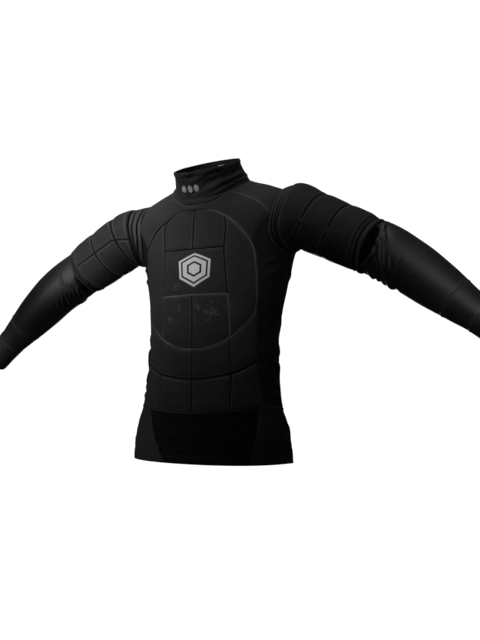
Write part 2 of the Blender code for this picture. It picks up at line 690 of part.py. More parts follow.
def label():
    """Small label inside the back of the collar, laid on the collar's own inner face."""
    turn, rows, normal, _ = collar_grid()

    def at(where, share):
        column = where / COLLAR_STEP
        low = int(column) % len(turn)
        part = column - int(column)
        index = max(i for i, h in enumerate(COLLAR_ROWS[:-1]) if h <= share)
        rise = (share - COLLAR_ROWS[index]) / (COLLAR_ROWS[index + 1] - COLLAR_ROWS[index])
        out = []
        for grid in (rows, normal):
            first = grid[index, low] * (1 - part) + grid[index, (low + 1) % len(turn)] * part
            second = grid[index + 1, low] * (1 - part) + grid[index + 1, (low + 1) % len(turn)] * part
            out.append(first * (1 - rise) + second * rise)
        return out

    near = []
    far = []
    for share in LABEL_ROWS:
        for where in LABEL_TURNS:
            point, out = at(where, share)
            near.append(point - out * 0.0006)
            far.append(point - out * (0.0006 + LABEL))
    across = len(LABEL_TURNS)
    count = len(near)
    faces = []
    border = {}
    for row in range(len(LABEL_ROWS) - 1):
        for place in range(across - 1):
            a = row * across + place
            b = a + 1
            c = b + across
            d = a + across
            faces += [(a, b, c), (a, c, d)]
            for pair in ((a, b), (b, c), (c, d), (d, a)):
                border[pair] = True
    sheet = list(faces)
    faces += [(c + count, b + count, a + count) for a, b, c in sheet]
    for a, b in border:
        if (b, a) not in border:
            faces += [(b, a, a + count), (b, a + count, b + count)]
    return add_mesh("neck_label", np.array(near + far), faces, "label_cloth")


def both(line):
    """A line from the far side over the middle to the near side, from its half."""
    return mirrored(line) + line[::-1][1:] if line[-1][0] == 0 else mirrored(line) + line[::-1]


def body_panels():
    joint_left = armhole(1)[FRONT_JOINT]
    joint_right = armhole(-1)[FRONT_JOINT]
    back_left = armhole(1)[BACK_JOINT]
    back_right = armhole(-1)[BACK_JOINT]
    neck_turns = [float(t) for t in range(-48, 49, COLLAR_STEP)]
    back_turns = [float(t) for t in range(48, 313, COLLAR_STEP)]
    side_left = even([joint_left] + SIDE_SEAM + [SIDE_FOOT], 0.022)
    side_right = mirrored(side_left)
    shoulder_left = even([SHOULDER_NECK] + SHOULDER_SEAM + [joint_left], 0.022)
    shoulder_right = mirrored(shoulder_left)
    hem_left = even(HEM_SEAM_LEFT, 0.022)
    hem_right = even(HEM_SEAM_RIGHT, 0.022)
    foot_middle = even([HEM_SEAM_LEFT[0]] + PAD_FOOT + mirrored(PAD_FOOT)[::-1][1:] + [HEM_SEAM_RIGHT[0]], 0.022)
    foot_left = [SIDE_FOOT, HEM_SEAM_LEFT[0]]
    foot_right = even([HEM_SEAM_RIGHT[0], (-SIDE_FOOT[0], SIDE_FOOT[1])], 0.022)
    back_seam_left = even([back_left] + BACK_SEAM + [BACK_FOOT], 0.024)
    back_seam_right = behind(back_seam_left)
    gusset_top_left = even([SIDE_FOOT] + GUSSET_TOP + [BACK_FOOT], 0.022)
    gusset_back_left = even([BACK_FOOT, BACK_HEM], 0.024)

    neck_front = [(t, TOP) for t in neck_turns]
    front = joined(neck_front, shoulder_left, side_left, foot_left, foot_middle, foot_right,
                   side_right[::-1], shoulder_right[::-1])
    grooves = [both(EGG_TOP[::-1]), both(EGG_FOOT), COLUMN, mirrored(COLUMN), CENTRE_TOP, CENTRE_FOOT,
               BAR_TOP, BAR_FOOT, both(SMILE)]
    panel("front_panel", front, 0.027, "padded_cloth", grooves)

    hem = joined(foot_middle, hem_right, even([HEM_SEAM_RIGHT[-1], HEM_SEAM_LEFT[-1]], 0.024), hem_left[::-1])
    panel("front_hem_panel", hem, 0.034, "hem_mesh")

    neck_back = [(t, TOP) for t in back_turns]
    over_left = armhole_line(1, FRONT_JOINT, BACK_JOINT)
    over_right = [(360.0 + t, l) for t, l in armhole_line(-1, FRONT_JOINT, BACK_JOINT)]
    hem_back = even([BACK_HEM, (360.0 - BACK_HEM[0], 0.0)], 0.028)
    lower_left = even([BACK_FOOT, BACK_HEM], 0.024)
    shoulder_far = [(360.0 + t, l) for t, l in shoulder_right]
    back = joined(neck_back, shoulder_far, over_right, back_seam_right, behind(lower_left), hem_back[::-1],
                  lower_left[::-1], back_seam_left[::-1], over_left[::-1], shoulder_left[::-1])
    panel("back_panel", back, 0.040, "back_cloth")

    for side, word in ((1, "left"), (-1, "right")):
        turned = (lambda line: line) if side == 1 else mirrored
        under_arm = armhole_line(1, BACK_JOINT, FRONT_JOINT)
        outline = joined(turned(side_left), turned(gusset_top_left), turned(back_seam_left)[::-1],
                         turned(under_arm))
        panel(f"side_panel_{word}", outline, 0.030, "side_mesh")
        seam = hem_left if side == 1 else hem_right
        foot = foot_left if side == 1 else foot_right[::-1]
        hem_line = even([turned([BACK_HEM])[0], seam[-1]], 0.026)
        outline = joined(foot[::-1], turned(gusset_top_left), turned(gusset_back_left), hem_line, seam[::-1])
        panel(f"lower_side_{word}", outline, 0.032, "gusset_cloth")


def main():
    clear_scene()
    body_panels()
    collar()
    label()
    for side, word in ((1, "left"), (-1, "right")):
        strip(side, word)
        over_sleeve(side, word)
        band(side, word)
        under_sleeve(side, word)
        ring_sleeve(f"wrist_sleeve_{word}", side, WRIST, UNDER, "sleeve_cloth", True, True)
        ring_sleeve(f"cuff_{word}", side, CUFF_SLEEVE, UNDER * 1.4, "cuff_cloth", True, False)


main()
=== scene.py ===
"""Looks of a padded compression shirt: cloth, quilting, stitched seams and finish, round its CAD part.

Metres, +Z up. The front faces -Y and the wearer's left is +X. Body cloth is cut on a flat pattern, whose
first number is the turn round the body from centre front, times FLAT, and whose second is the level above
the hem. It is then put round the wearer. Sleeves are rings along the arm, and the collar is rings up the neck.
"""

import math

import bpy
import numpy as np
from mathutils import Matrix, Vector, kdtree
from mathutils.geometry import delaunay_2d_cdt


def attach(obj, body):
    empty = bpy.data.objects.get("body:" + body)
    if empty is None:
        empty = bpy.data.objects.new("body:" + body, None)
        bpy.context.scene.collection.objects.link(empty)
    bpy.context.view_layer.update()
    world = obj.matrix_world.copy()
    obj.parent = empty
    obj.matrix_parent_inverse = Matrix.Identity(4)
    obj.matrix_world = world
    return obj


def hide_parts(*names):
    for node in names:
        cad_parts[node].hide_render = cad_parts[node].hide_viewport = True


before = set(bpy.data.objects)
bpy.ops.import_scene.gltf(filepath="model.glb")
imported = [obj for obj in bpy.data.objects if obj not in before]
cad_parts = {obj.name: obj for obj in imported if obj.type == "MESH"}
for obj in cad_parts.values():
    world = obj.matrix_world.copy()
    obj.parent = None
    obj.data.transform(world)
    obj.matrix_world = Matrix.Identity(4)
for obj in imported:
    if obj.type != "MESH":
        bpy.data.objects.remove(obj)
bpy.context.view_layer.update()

# Cloth thickness
SEAM_GAP = 0.00036
PLAIN = 0.0022
PAD = 0.0084
QUILT_FLOOR = 0.0030
PAD_EDGE = 0.0027
STRIP = 0.0022
UNDER = 0.0017
BAND = 0.0052
COLLAR = 0.0024
COLLAR_ROLL = 0.0044
CUFF = 0.0024
LABEL = 0.0009

# Spacing of the cloth's points
FINE = 0.0042
PLAIN_STEP = 0.0050
QUILT_STEP = 0.003
# Rows of points beside an edge or a quilting line: distance from it, and least distance between points
BESIDE_EDGE = ((0.0016, 0.0010), (0.0034, 0.0014))
BESIDE_QUILTING = ((0.0013, 0.0009), (0.0028, 0.0009), (0.0048, 0.0018))

# Flat pattern of the body: metres per radian of turn, and the level of the neck seam
FLAT = 0.165
TOP = 0.715

# Body rings: level, height of front, side and back, half width, front and back depth, squareness
BODY = [
    (0.000, -0.641, -0.634, -0.641, 0.197, -0.094, 0.106, 0.03),
    (0.050, -0.590, -0.590, -0.590, 0.194, -0.088, 0.090, 0.03),
    (0.130, -0.510, -0.510, -0.510, 0.178, -0.083, 0.075, 0.00),
    (0.220, -0.420, -0.420, -0.420, 0.166, -0.086, 0.083, -0.01),
    (0.320, -0.320, -0.320, -0.320, 0.161, -0.091, 0.102, 0.015),
    (0.410, -0.230, -0.230, -0.230, 0.177, -0.097, 0.115, 0.01),
    (0.468, -0.180, -0.172, -0.185, 0.187, -0.098, 0.121, 0.02),
    (0.530, -0.140, -0.110, -0.140, 0.198, -0.096, 0.117, 0.04),
    (0.580, -0.108, -0.060, -0.090, 0.203, -0.095, 0.109, 0.04),
    (0.618, -0.088, -0.027, -0.048, 0.190, -0.094, 0.099, 0.02),
    (0.660, -0.073, -0.008, -0.010, 0.150, -0.092, 0.082, 0.00),
    (0.715, -0.060, 0.006, 0.020, 0.102, -0.089, 0.054, 0.00),
]


def in_metres(folds):
    """Folds from a table of degrees and millimetres: start turn and level, end turn and level, half width, height."""
    return [(a, b / 1000, c, d / 1000, width / 1000, height / 1000) for a, b, c, d, width, height in folds]


# Large folds of the body's cloth
BODY_FOLDS = in_metres([
    (64, 318, 102, 240, 10, 2.6), (62, 276, 100, 196, 11, 3.2), (63, 230, 92, 158, 9, 2.4),
    (74, 366, 112, 302, 12, 2.2), (88, 112, 118, 56, 11, 3), (74, 74, 104, 22, 10, 2.6),
    (132, 300, 166, 232, 13, 3), (128, 236, 160, 176, 12, 2.6), (140, 420, 170, 380, 14, 2.4),
    (-66, 306, -100, 232, 11, 2.8), (-62, 262, -98, 186, 10, 3), (-76, 352, -114, 296, 12, 2.2),
    (-86, 104, -116, 50, 11, 2.8), (-134, 286, -168, 222, 13, 2.8), (-130, 224, -158, 168, 12, 2.4),
])

# Creases of each cloth; a height below nothing is a trough
SIDE_CREASES = in_metres([
    (61, 300, 84, 262, 4, 3.2), (60, 262, 88, 214, 4.2, 4.1), (61, 243, 80, 212, 3.4, -2.4),
    (60, 214, 82, 178, 4, 3.5), (61, 190, 76, 166, 3.2, 2.4), (66, 338, 92, 306, 4.6, 2.6),
    (84, 286, 112, 244, 5, 3.1), (92, 232, 116, 198, 4.6, 2.6), (56, 446, 72, 462, 4.6, 2.4),
    (62, 420, 84, 446, 5, 2.9), (90, 452, 108, 424, 5, 2.9), (66, 150, 90, 160, 4, 2.3),
])
GUSSET_CREASES = in_metres([
    (62, 118, 70, 60, 5, 1.5), (70, 110, 76, 34, 4.6, 1.8), (80, 116, 86, 50, 5, 1.4), (92, 100, 98, 30, 5.6, 2),
    (54, 60, 74, 48, 5, 1.3), (104, 96, 110, 36, 5.6, 1.7), (60, 30, 96, 26, 4, -1.1),
])
HEM_CREASES = in_metres([
    (-24, 70, 6, 62, 7, 1), (8, 88, 40, 80, 6, 0.9), (-20, 40, 24, 34, 6, -0.8), (18, 52, 42, 60, 5.6, 0.9),
])
BACK_CREASES = in_metres([
    (126, 340, 150, 296, 6, 1.6), (124, 286, 146, 246, 5.6, 1.8), (128, 214, 156, 190, 6, 1.5),
    (136, 180, 168, 162, 7, 1.4), (150, 262, 182, 230, 7, 1.4), (168, 206, 206, 214, 7.6, 1.6),
    (172, 250, 214, 274, 8, 1.3), (234, 350, 208, 302, 6, 1.6), (236, 290, 212, 250, 5.6, 1.7),
    (232, 226, 204, 184, 6, 1.5), (226, 170, 192, 150, 7, 1.3), (140, 120, 146, 40, 8, 1.6),
    (160, 130, 162, 50, 9, 1.4), (184, 124, 181, 36, 9, 1.5), (206, 130, 202, 50, 8, 1.6),
    (224, 112, 220, 30, 8, 1.3), (124, 500, 150, 540, 8, 1.6), (128, 446, 158, 470, 8, 1.4),
    (236, 500, 212, 544, 8, 1.6), (232, 440, 204, 462, 8, 1.4), (160, 640, 200, 634, 9, 1.2),
    (120, 600, 150, 630, 8, 1.3), (240, 602, 212, 634, 8, 1.3),
])

# Seams and quilting on one half of the body, as turn from centre front and level
SIDE_SEAM = [(48.5, 0.557), (43.8, 0.540), (40.6, 0.521), (41.8, 0.501), (46.0, 0.474), (50.2, 0.446),
             (54.0, 0.400), (56.5, 0.352), (58.6, 0.290), (58.8, 0.230), (58.2, 0.180), (58.7, 0.129)]
SHOULDER_SEAM = [(48.0, TOP), (48.8, 0.690), (48.4, 0.660), (47.9, 0.635), (48.0, 0.615), (49.6, 0.598)]
PAD_FOOT = [(44.0, 0.1222), (31.0, 0.1175), (15.0, 0.1135), (0.0, 0.112)]
BACK_SEAM = [(119.0, 0.470), (122.0, 0.400), (124.0, 0.300), (124.5, 0.210), (124.0, 0.126)]
BACK_FOOT = [(124.0, 0.126), (122.0, 0.0)]
GUSSET_TOP = [(58.7, 0.129), (70.0, 0.1285), (82.0, 0.1270), (96.0, 0.1255), (110.0, 0.1255), (124.0, 0.126)]
HEM_SEAM_LEFT = [(56.0, 0.1283), (53.2, 0.099), (48.6, 0.066), (45.2, 0.034), (43.5, 0.0)]
HEM_SEAM_RIGHT = [(-46.0, 0.1240), (-38.5, 0.096), (-31.0, 0.066), (-25.5, 0.040), (-21.5, 0.020), (-17.5, 0.0)]
EGG_TOP = [(0, 0.668), (6, 0.667), (11, 0.661), (15.5, 0.644), (18.6, 0.619), (22.4, 0.592), (27.5, 0.562),
           (34.2, 0.530), (41.0, 0.498)]
EGG_FOOT = [(57.0, 0.352), (53.2, 0.336), (48.0, 0.317), (41.5, 0.300), (31.9, 0.279), (19.8, 0.263),
            (8.0, 0.2545), (0, 0.2535)]
EGG_SIDE = [(46.2, 0.466), (49.2, 0.436), (52.2, 0.400), (54.2, 0.366), (54.3, 0.349)]
EGG = EGG_TOP + EGG_SIDE + EGG_FOOT[1:]
COLUMN = [(19.6, 0.606), (21.4, 0.495), (25.0, 0.430), (28.4, 0.375), (31.9, 0.281), (33.4, 0.198),
          (29.8, 0.113)]
CENTRE_TOP = [(0, 0.668), (0, 0.495)]
CENTRE_FOOT = [(0, 0.375), (0, 0.110)]
BAR_TOP = [(-21.4, 0.495), (21.4, 0.495)]
BAR_FOOT = [(-28.4, 0.375), (28.4, 0.375)]
SMILE = [(60, 0.231), (46.6, 0.212), (33.4, 0.199), (16, 0.190), (0, 0.186)]
HEM_STITCH = (0.0180, 0.0138)

# Armhole, an oval on the body, and places round a sleeve in degrees: 0 faces front, 90 up, 180 back
ARMHOLE = {"turn": 85.0, "level": 0.549, "half_turn": 33.0, "half_level": 0.081}
STEP_ROUND = 2.0
ROUND = np.arange(0.0, 360.0, STEP_ROUND)
ANGLES = np.radians(ROUND)
UPWARD = np.sin(ANGLES)
FRONT_JOINT = 18.0
BACK_JOINT = 198.0

# Arms: the axis starts in the armhole, falls, and bends at the elbow
ARM = {"out": 0.2117, "front": -0.0221, "swing": 1.0, "fore_swing": -1.8}
ARM_POSE = {1: {"height": -0.0820, "fall": 26.4, "fore_fall": 38.3},
            -1: {"height": -0.0900, "fall": 27.8, "fore_fall": 38.8}}
# How quickly each over-sleeve's cap rises from the armhole on top, and how far it bulges there
CAP_SHAPE = {1: (1.5, 0.0060), -1: (0.75, 0.0010)}
BEND_START = 0.200
BEND_LENGTH = 0.140
CAP_END = 0.042
PAD_START = 0.36
OVER = [(0.042, 0.0605), (0.075, 0.0602), (0.108, 0.0588), (0.140, 0.0580), (0.172, 0.0568), (0.201, 0.0560)]
# Two valleys of the strip round an armhole: angle, and share of the cap at which each lies
STRIP_VALLEYS = [(-180, 0.13, 0.24), (-100, 0.26, 0.33), (-60, 0.23, 0.315), (-30, 0.19, 0.29), (10, 0.13, 0.26),
                 (45, 0.09, 0.24), (90, 0.10, 0.24), (135, 0.12, 0.25), (180, 0.13, 0.24)]
# Seams round the over-sleeve along each arm, the end of its pads, and the end of its band
OVER_SEAMS = {1: {"rings": [0.0625, 0.1275], "pad_end": 0.187, "band_end": 0.210},
              -1: {"rings": [0.0315, 0.0960], "pad_end": 0.160, "band_end": 0.1765}}
LONG_SEAM = -9.0
RING_JOG = 0.0035
# Rolls of each band as share of its width, half width and height, with the share of the furrow between them
BAND_ROLLS = {1: ((0.16, 0.085, 0.86), 0.38, (0.74, 0.22, 0.94)), -1: ((0.30, 0.17, 0.90), 0.56, (0.78, 0.16, 0.66))}
FOREARM = [(0.176, 0.0568), (0.200, 0.0572), (0.222, 0.0578), (0.238, 0.0582), (0.258, 0.0580), (0.276, 0.0572),
           (0.296, 0.0564), (0.318, 0.0552), (0.340, 0.0536), (0.362, 0.0518), (0.384, 0.0492), (0.402, 0.0466),
           (0.416, 0.0445)]
FOREARM_END = FOREARM[-1][0]
# Metres per radian round each kind of sleeve
OVER_ROUND, UNDER_ROUND, WRIST_ROUND = 0.064, 0.055, 0.042
WRIST = [FOREARM[-1], (0.430, 0.0424), (0.446, 0.0400), (0.462, 0.0376), (0.478, 0.0358)]
CUFF_SLEEVE = [(0.478, 0.0362), (0.492, 0.0356), (0.510, 0.0350), (0.532, 0.0346), (0.556, 0.0344)]
SLEEVE_SEAMS = (FOREARM[-1], (0.478, 0.0360))
CUFF_STITCH = (0.5370, 0.5410)
CUFF_RADIUS = 0.0348

# Gathers of the under-sleeves in degrees and millimetres: points of angle and place along the arm, half width,
# height
GATHERS = {
    1: [
        ([(43, 233), (20, 245), (0, 254), (-14, 260), (-32, 270.5), (-45, 279.5)], 2.7, 3.6),
        ([(22, 236), (3, 245), (-13, 252.5), (-27, 261.5), (-42, 270.5), (-59, 278), (-73, 290)], 2.4, 3.6),
        ([(22, 229.5), (8, 234.5)], 2.4, 2.6),
        ([(1, 230), (-10, 236), (-18, 236), (-27, 230), (-39, 225.5), (-62, 215)], 2.6, 4.2),
        ([(-18, 240.5), (-31, 243.5)], 2.2, 2.8), ([(-23, 251), (-38, 258.5), (-60, 266)], 2.4, 3),
        ([(-5, 270.5), (-20, 279.5), (-36, 285.5)], 2.4, 2.6),
        ([(6, 288.5), (-11, 291.5), (-29, 294.5), (-41, 294.5)], 2.8, 2),
        ([(-54, 275), (-67, 291.5), (-84, 302)], 2.6, 2.6), ([(-7, 326), (-22, 327.5)], 3, 1),
        ([(-44, 247), (-70, 257), (-96, 258)], 2.8, 2.8), ([(-56, 232), (-80, 240), (-108, 238)], 3, 3),
        ([(-70, 268), (-100, 276), (-126, 272)], 3.2, 2.8), ([(-62, 286), (-90, 292), (-122, 290)], 6.6, 4),
        ([(62, 222), (44, 228), (30, 236)], 3, 1.6), ([(126, 224), (160, 238), (196, 252), (214, 268)], 2.8, 3.2),
        ([(140, 220), (178, 232), (210, 250), (232, 270)], 2.6, 3.4),
        ([(164, 222), (196, 230), (226, 246)], 2.6, 3), ([(150, 252), (178, 266), (202, 284)], 2.8, 2.2),
        ([(222, 232), (244, 244), (256, 262)], 2.8, 2.8), ([(168, 286), (196, 296)], 3.2, 1.6),
    ],
    -1: [
        ([(4, 213), (-14, 218), (-30, 222)], 2.6, 1.6), ([(-46, 192), (-60, 203), (-78, 214)], 2.1, 3.6),
        ([(-60, 192), (-74, 200), (-90, 210)], 2.1, 3.6), ([(-78, 193), (-94, 196), (-110, 196)], 2.2, 3.4),
        ([(-40, 228), (-62, 243), (-84, 258)], 2.2, 4.2), ([(-46, 222), (-68, 236), (-90, 248)], 2.1, 3.9),
        ([(-42, 246), (-62, 262), (-82, 277)], 2.2, 3.9), ([(-50, 212), (-70, 224), (-92, 234)], 2.1, 3.1),
        ([(-46, 268), (-62, 281), (-80, 292)], 2.4, 2.6), ([(-46, 306), (-70, 316)], 2.9, 1.6),
        ([(-30, 203), (-42, 210)], 2.2, 1.6), ([(150, 192), (182, 206), (212, 224)], 2.4, 3.9),
        ([(162, 212), (192, 228), (220, 250)], 2.4, 4.2), ([(176, 194), (204, 204), (232, 216)], 2.2, 3.6),
        ([(190, 240), (214, 256), (236, 270)], 2.4, 3.4), ([(228, 224), (246, 236), (262, 246)], 2.4, 3.4),
    ],
}
GATHERS = {side: [([(angle, place / 1000) for angle, place in points], width / 1000, height / 1000)
                  for points, width, height in rows] for side, rows in GATHERS.items()}
# Hollow under each band: where it ends along the arm at each angle, and its depth
HOLLOWS = {
    1: ([(-180, 0.208), (-100, 0.208), (-76, 0.212), (-54, 0.2185), (-23, 0.2305), (-3, 0.2310), (20, 0.2310),
         (36, 0.2260), (52, 0.2180), (72, 0.2110), (90, 0.208), (180, 0.208)], 0.0090),
    -1: ([(-180, 0.176), (-112, 0.176), (-92, 0.184), (-66, 0.192), (-44, 0.190), (-24, 0.182), (0, 0.176),
          (180, 0.176)], 0.0042),
}
# How far the ten hidden rings of the under-sleeve lie inside the over-sleeve, and where its gathers end
HIDDEN_CLEARANCE = (0.0005, 0.0008, 0.0012, 0.0016, 0.0020, 0.0020, 0.0020, 0.0018, 0.0010, 0.0008)
GATHERS_END = 0.300
# Radius of the under-sleeve where it comes out of the band
TUCKED = 0.0552
# Rise of the cloth just below the band, on top of the arm
TOP_LIFT = {1: 0.0036, -1: 0.0012}

# Collar: rim ring and its folds as start and end turn and share of the way up, half width, height
RIM = {"middle_y": -0.050, "half_width": 0.0735, "half_depth": 0.0725, "height": 0.0495, "tilt": 0.50}
COLLAR_CURL = 0.016
COLLAR_HIGH = 0.078
COLLAR_ROUND = 0.075
COLLAR_FOLDS = [
    (-40, 0.6, -6, 0.74, 0.0032, 0.0012), (-14, 0.52, 22, 0.68, 0.0032, -0.0015),
    (4, 0.84, 32, 0.93, 0.003, 0.0018), (28, 0.91, 58, 0.85, 0.0034, -0.002), (50, 0.84, 82, 0.93, 0.0036, 0.0024),
    (64, 0.76, 98, 0.82, 0.0034, -0.0024), (12, 0.16, 42, 0.31, 0.0038, 0.0014),
    (52, 0.14, 90, 0.26, 0.0036, 0.0022), (-38, 0.42, -10, 0.5, 0.0036, 0.001),
    (-14, 0.78, 10, 0.965, 0.0036, -0.0026), (-22, 0.7, 4, 0.88, 0.005, 0.002), (18, 0.7, 44, 0.8, 0.0042, -0.003),
    (40, 0.79, 82, 0.7, 0.0046, -0.003), (22, 0.6, 52, 0.66, 0.005, 0.003), (46, 0.66, 86, 0.6, 0.0052, 0.004),
    (58, 0.56, 92, 0.44, 0.004, -0.0026), (30, 0.42, 96, 0.33, 0.0052, 0.0032),
    (18, 0.34, 46, 0.26, 0.0034, -0.0014), (44, 0.24, 84, 0.09, 0.0042, -0.003),
    (-46, 0.93, -14, 0.87, 0.0046, 0.002), (-56, 0.8, -20, 0.72, 0.0042, -0.0014),
    (-24, 0.3, 18, 0.22, 0.006, 0.0016), (-62, 0.2, -116, 0.3, 0.0066, 0.003),
    (-90, 0.62, -150, 0.48, 0.0066, 0.003), (-80, 0.84, -128, 0.78, 0.005, -0.002),
    (110, 0.56, 160, 0.7, 0.006, 0.0028), (120, 0.26, 176, 0.42, 0.0066, 0.0032),
    (150, 0.16, 208, 0.24, 0.006, 0.0026), (184, 0.6, 222, 0.5, 0.0056, 0.0024),
]
LABEL_TURNS = (178.0, 190.0)
LABEL_SHARES = (0.66, 0.90)
LABEL_GRID = (17, 25)

STITCH = {"pitch": 0.0034, "length": 0.0024, "thick": 0.0007}
SEAM_WIDTH = 0.0040
SEAM_RISE = 0.0008


# --- curves and fields ---

def rows_at(rows, place):
    """Values of a table's columns at a place in its first column, on a smooth curve."""
    table = np.asarray(rows, float)
    key = table[:, 0]
    step = np.diff(key)
    rise = np.diff(table[:, 1:], axis=0) / step[:, None]
    slope = np.empty_like(table[:, 1:])
    slope[0] = rise[0]
    slope[-1] = rise[-1]
    slope[1:-1] = (rise[:-1] * step[1:, None] + rise[1:] * step[:-1, None]) / (step[:-1] + step[1:])[:, None]
    place = np.clip(np.asarray(place, float), key[0], key[-1])
    index = np.clip(np.searchsorted(key, place, side="right") - 1, 0, len(key) - 2)
    part = ((place - key[index]) / step[index])[..., None]
    width = step[index][..., None]
    low = table[index, 1:]
    high = table[index + 1, 1:]
    curve = low * (1 + 2 * part) * (1 - part) ** 2 + high * part * part * (3 - 2 * part)
    lean = slope[index] * part * (1 - part) ** 2 + slope[index + 1] * part * part * (part - 1)
    return curve + width * lean


def smooth(value):
    value = np.clip(value, 0.0, 1.0)
    return value * value * (3 - 2 * value)


def unit(vectors):
    return vectors / np.maximum(np.linalg.norm(vectors, axis=-1, keepdims=True), 1e-12)


def uneven(plane, size, phase=0.0):
    """A gentle unevenness between -1 and 1 over a flat pattern, with bumps of about one size."""
    total = 0.0
    for index, angle in enumerate((0.3, 1.1, 1.9, 2.6, 3.4, 5.0)):
        across = plane[..., 0] * math.cos(angle) + plane[..., 1] * math.sin(angle)
        total = total + np.sin(across * 2 * math.pi / (size * (0.8 + 0.13 * index)) + phase + 1.7 * index)
    return total / 6


def distance_to(points, starts, stops):
    """Distance of each point to its nearest of some stretches."""
    run = stops - starts
    length = np.maximum((run * run).sum(-1), 1e-12)
    out = []
    for first in range(0, len(points), 2000):
        offset = points[first:first + 2000, None, :] - starts[None]
        share = np.clip((offset * run).sum(-1) / length, 0.0, 1.0)
        away = offset - share[..., None] * run
        out.append(np.sqrt((away * away).sum(-1).min(1)))
    return np.concatenate(out)


def fold_rise(plane, folds, metres):
    """Height that folds add over a flat pattern. Each runs from one place to another, fades toward its two
    ends, bends a little, and has a shallow trough beside it."""
    total = np.zeros(plane.shape[:-1])
    for index, (turn_a, up_a, turn_b, up_b, width, height) in enumerate(folds):
        start = np.array([math.radians(turn_a) * metres, up_a])
        end = np.array([math.radians(turn_b) * metres, up_b])
        length = math.dist(start, end)
        ahead = (end - start) / length
        share = (plane - start) @ ahead / length
        across = (plane - start) @ np.array([-ahead[1], ahead[0]])
        across = across + 0.5 * width * np.sin(3.0 * share + index)
        ends = smooth((share + 0.15) / 0.38) * smooth((1.15 - share) / 0.38)
        ridge = np.exp(-(across / width) ** 2) - 0.28 * np.exp(-((across + 1.9 * width) / width) ** 2)
        total += height * ends * ridge
    return total


def crease_rise(plane, creases, metres):
    """Height that creases add round a sleeve. Each runs through points of angle and place, fades at its ends,
    and has a furrow on one side."""
    total = np.zeros(plane.shape[:-1])
    for points, width, height in creases:
        table = np.array([(math.radians(a) * metres, s) for a, s in points])
        reach = np.concatenate([[0], np.cumsum(np.linalg.norm(np.diff(table, axis=0), axis=1))])
        line = rows_at(np.column_stack([reach, table]), np.linspace(0, reach[-1], 18)) if len(points) > 2 else table
        best = np.full(plane.shape[:-1], 1e9)
        sideways, share = np.zeros(plane.shape[:-1]), np.zeros(plane.shape[:-1])
        length = np.linalg.norm(np.diff(line, axis=0), axis=1)
        before = np.concatenate([[0], np.cumsum(length)])
        for index in range(len(line) - 1):
            ahead = (line[index + 1] - line[index]) / length[index]
            offset = plane - line[index]
            along = np.clip(offset @ ahead, 0, length[index])
            away = offset - along[..., None] * ahead
            distance = np.sqrt((away * away).sum(-1))
            nearer = distance < best
            best = np.where(nearer, distance, best)
            sideways = np.where(nearer, distance * np.sign(offset @ np.array([-ahead[1], ahead[0]])), sideways)
            share = np.where(nearer, (before[index] + along) / before[-1], share)
        ends = smooth((share + 0.02) / 0.30) * smooth((1.02 - share) / 0.30)
        ridge = np.exp(-(best / width) ** 2) - 0.55 * np.exp(-((sideways + 2.0 * width) / (1.1 * width)) ** 2)
        total += height * ends * ridge * (best < 6 * width)
    return total


# --- the body and its flat pattern ---

def flat(points):
    points = np.array(points, float)
    return np.stack([np.radians(points[:, 0]) * FLAT, points[:, 1]], -1)


def curve(points, spacing=FINE):
    """Smooth line through points of turn and level, on the flat pattern."""
    plane = flat(points)
    reach = np.concatenate([[0], np.cumsum(np.linalg.norm(np.diff(plane, axis=0), axis=1))])
    count = max(1, round(reach[-1] / spacing))
    return rows_at(np.column_stack([reach, plane]), np.linspace(0, reach[-1], count + 1))


def bare_body(plane):
    turn = plane[..., 0] / FLAT
    front, side, back, half_width, front_y, back_y, square = np.moveaxis(rows_at(BODY, plane[..., 1]), -1, 0)
    sine, cosine = np.sin(turn), np.cos(turn)
    across = half_width * (sine + square * np.sin(3 * turn)) / (1 - square)
    depth = (cosine - square * np.cos(3 * turn)) / (1 - square)
    middle = (front_y + back_y) / 2
    y = np.where(depth > 0, middle + (front_y - middle) * depth, middle - (back_y - middle) * depth)
    z = side + np.where(cosine > 0, front - side, back - side) * np.abs(cosine) ** 1.6
    return np.stack([across, y, z], -1)


def body_normal(plane):
    sideways = np.array([math.radians(0.6) * FLAT, 0.0])
    over = np.stack([plane[..., 0], np.minimum(plane[..., 1] + 0.003, TOP)], -1)
    below = np.stack([plane[..., 0], np.maximum(plane[..., 1] - 0.003, 0.0)], -1)
    across = bare_body(plane + sideways) - bare_body(plane - sideways)
    return unit(np.cross(across, bare_body(over) - bare_body(below)))


def body(plane, height=0.0):
    """Points above the inner face of the body's cloth, with its large folds."""
    full = 2 * math.pi * FLAT
    wrapped = np.stack([(plane[..., 0] + full / 2) % full - full / 2, plane[..., 1]], -1)
    rise = fold_rise(wrapped, BODY_FOLDS, FLAT) + height
    return bare_body(plane) + body_normal(plane) * rise[..., None]


def mirrored(plane):
    return plane * (-1, 1)


def behind(plane):
    return np.stack([2 * math.pi * FLAT - plane[:, 0], plane[:, 1]], -1)


def armhole(side, first=0.0, last=360.0 - STEP_ROUND):
    """Points round the armhole on the flat pattern, from one place to another."""
    angle = np.radians(np.arange(first, last + STEP_ROUND / 2, STEP_ROUND))
    turn = ARMHOLE["turn"] - ARMHOLE["half_turn"] * np.cos(angle)
    level = ARMHOLE["level"] + ARMHOLE["half_level"] * np.sin(angle)
    return flat(np.stack([side * turn, level], -1))


def joined(*lines):
    """One closed outline from lines that share their end points."""
    points = np.concatenate(lines)
    apart = np.linalg.norm(points - np.roll(points, 1, axis=0), axis=1) > 1e-6
    return points[apart]


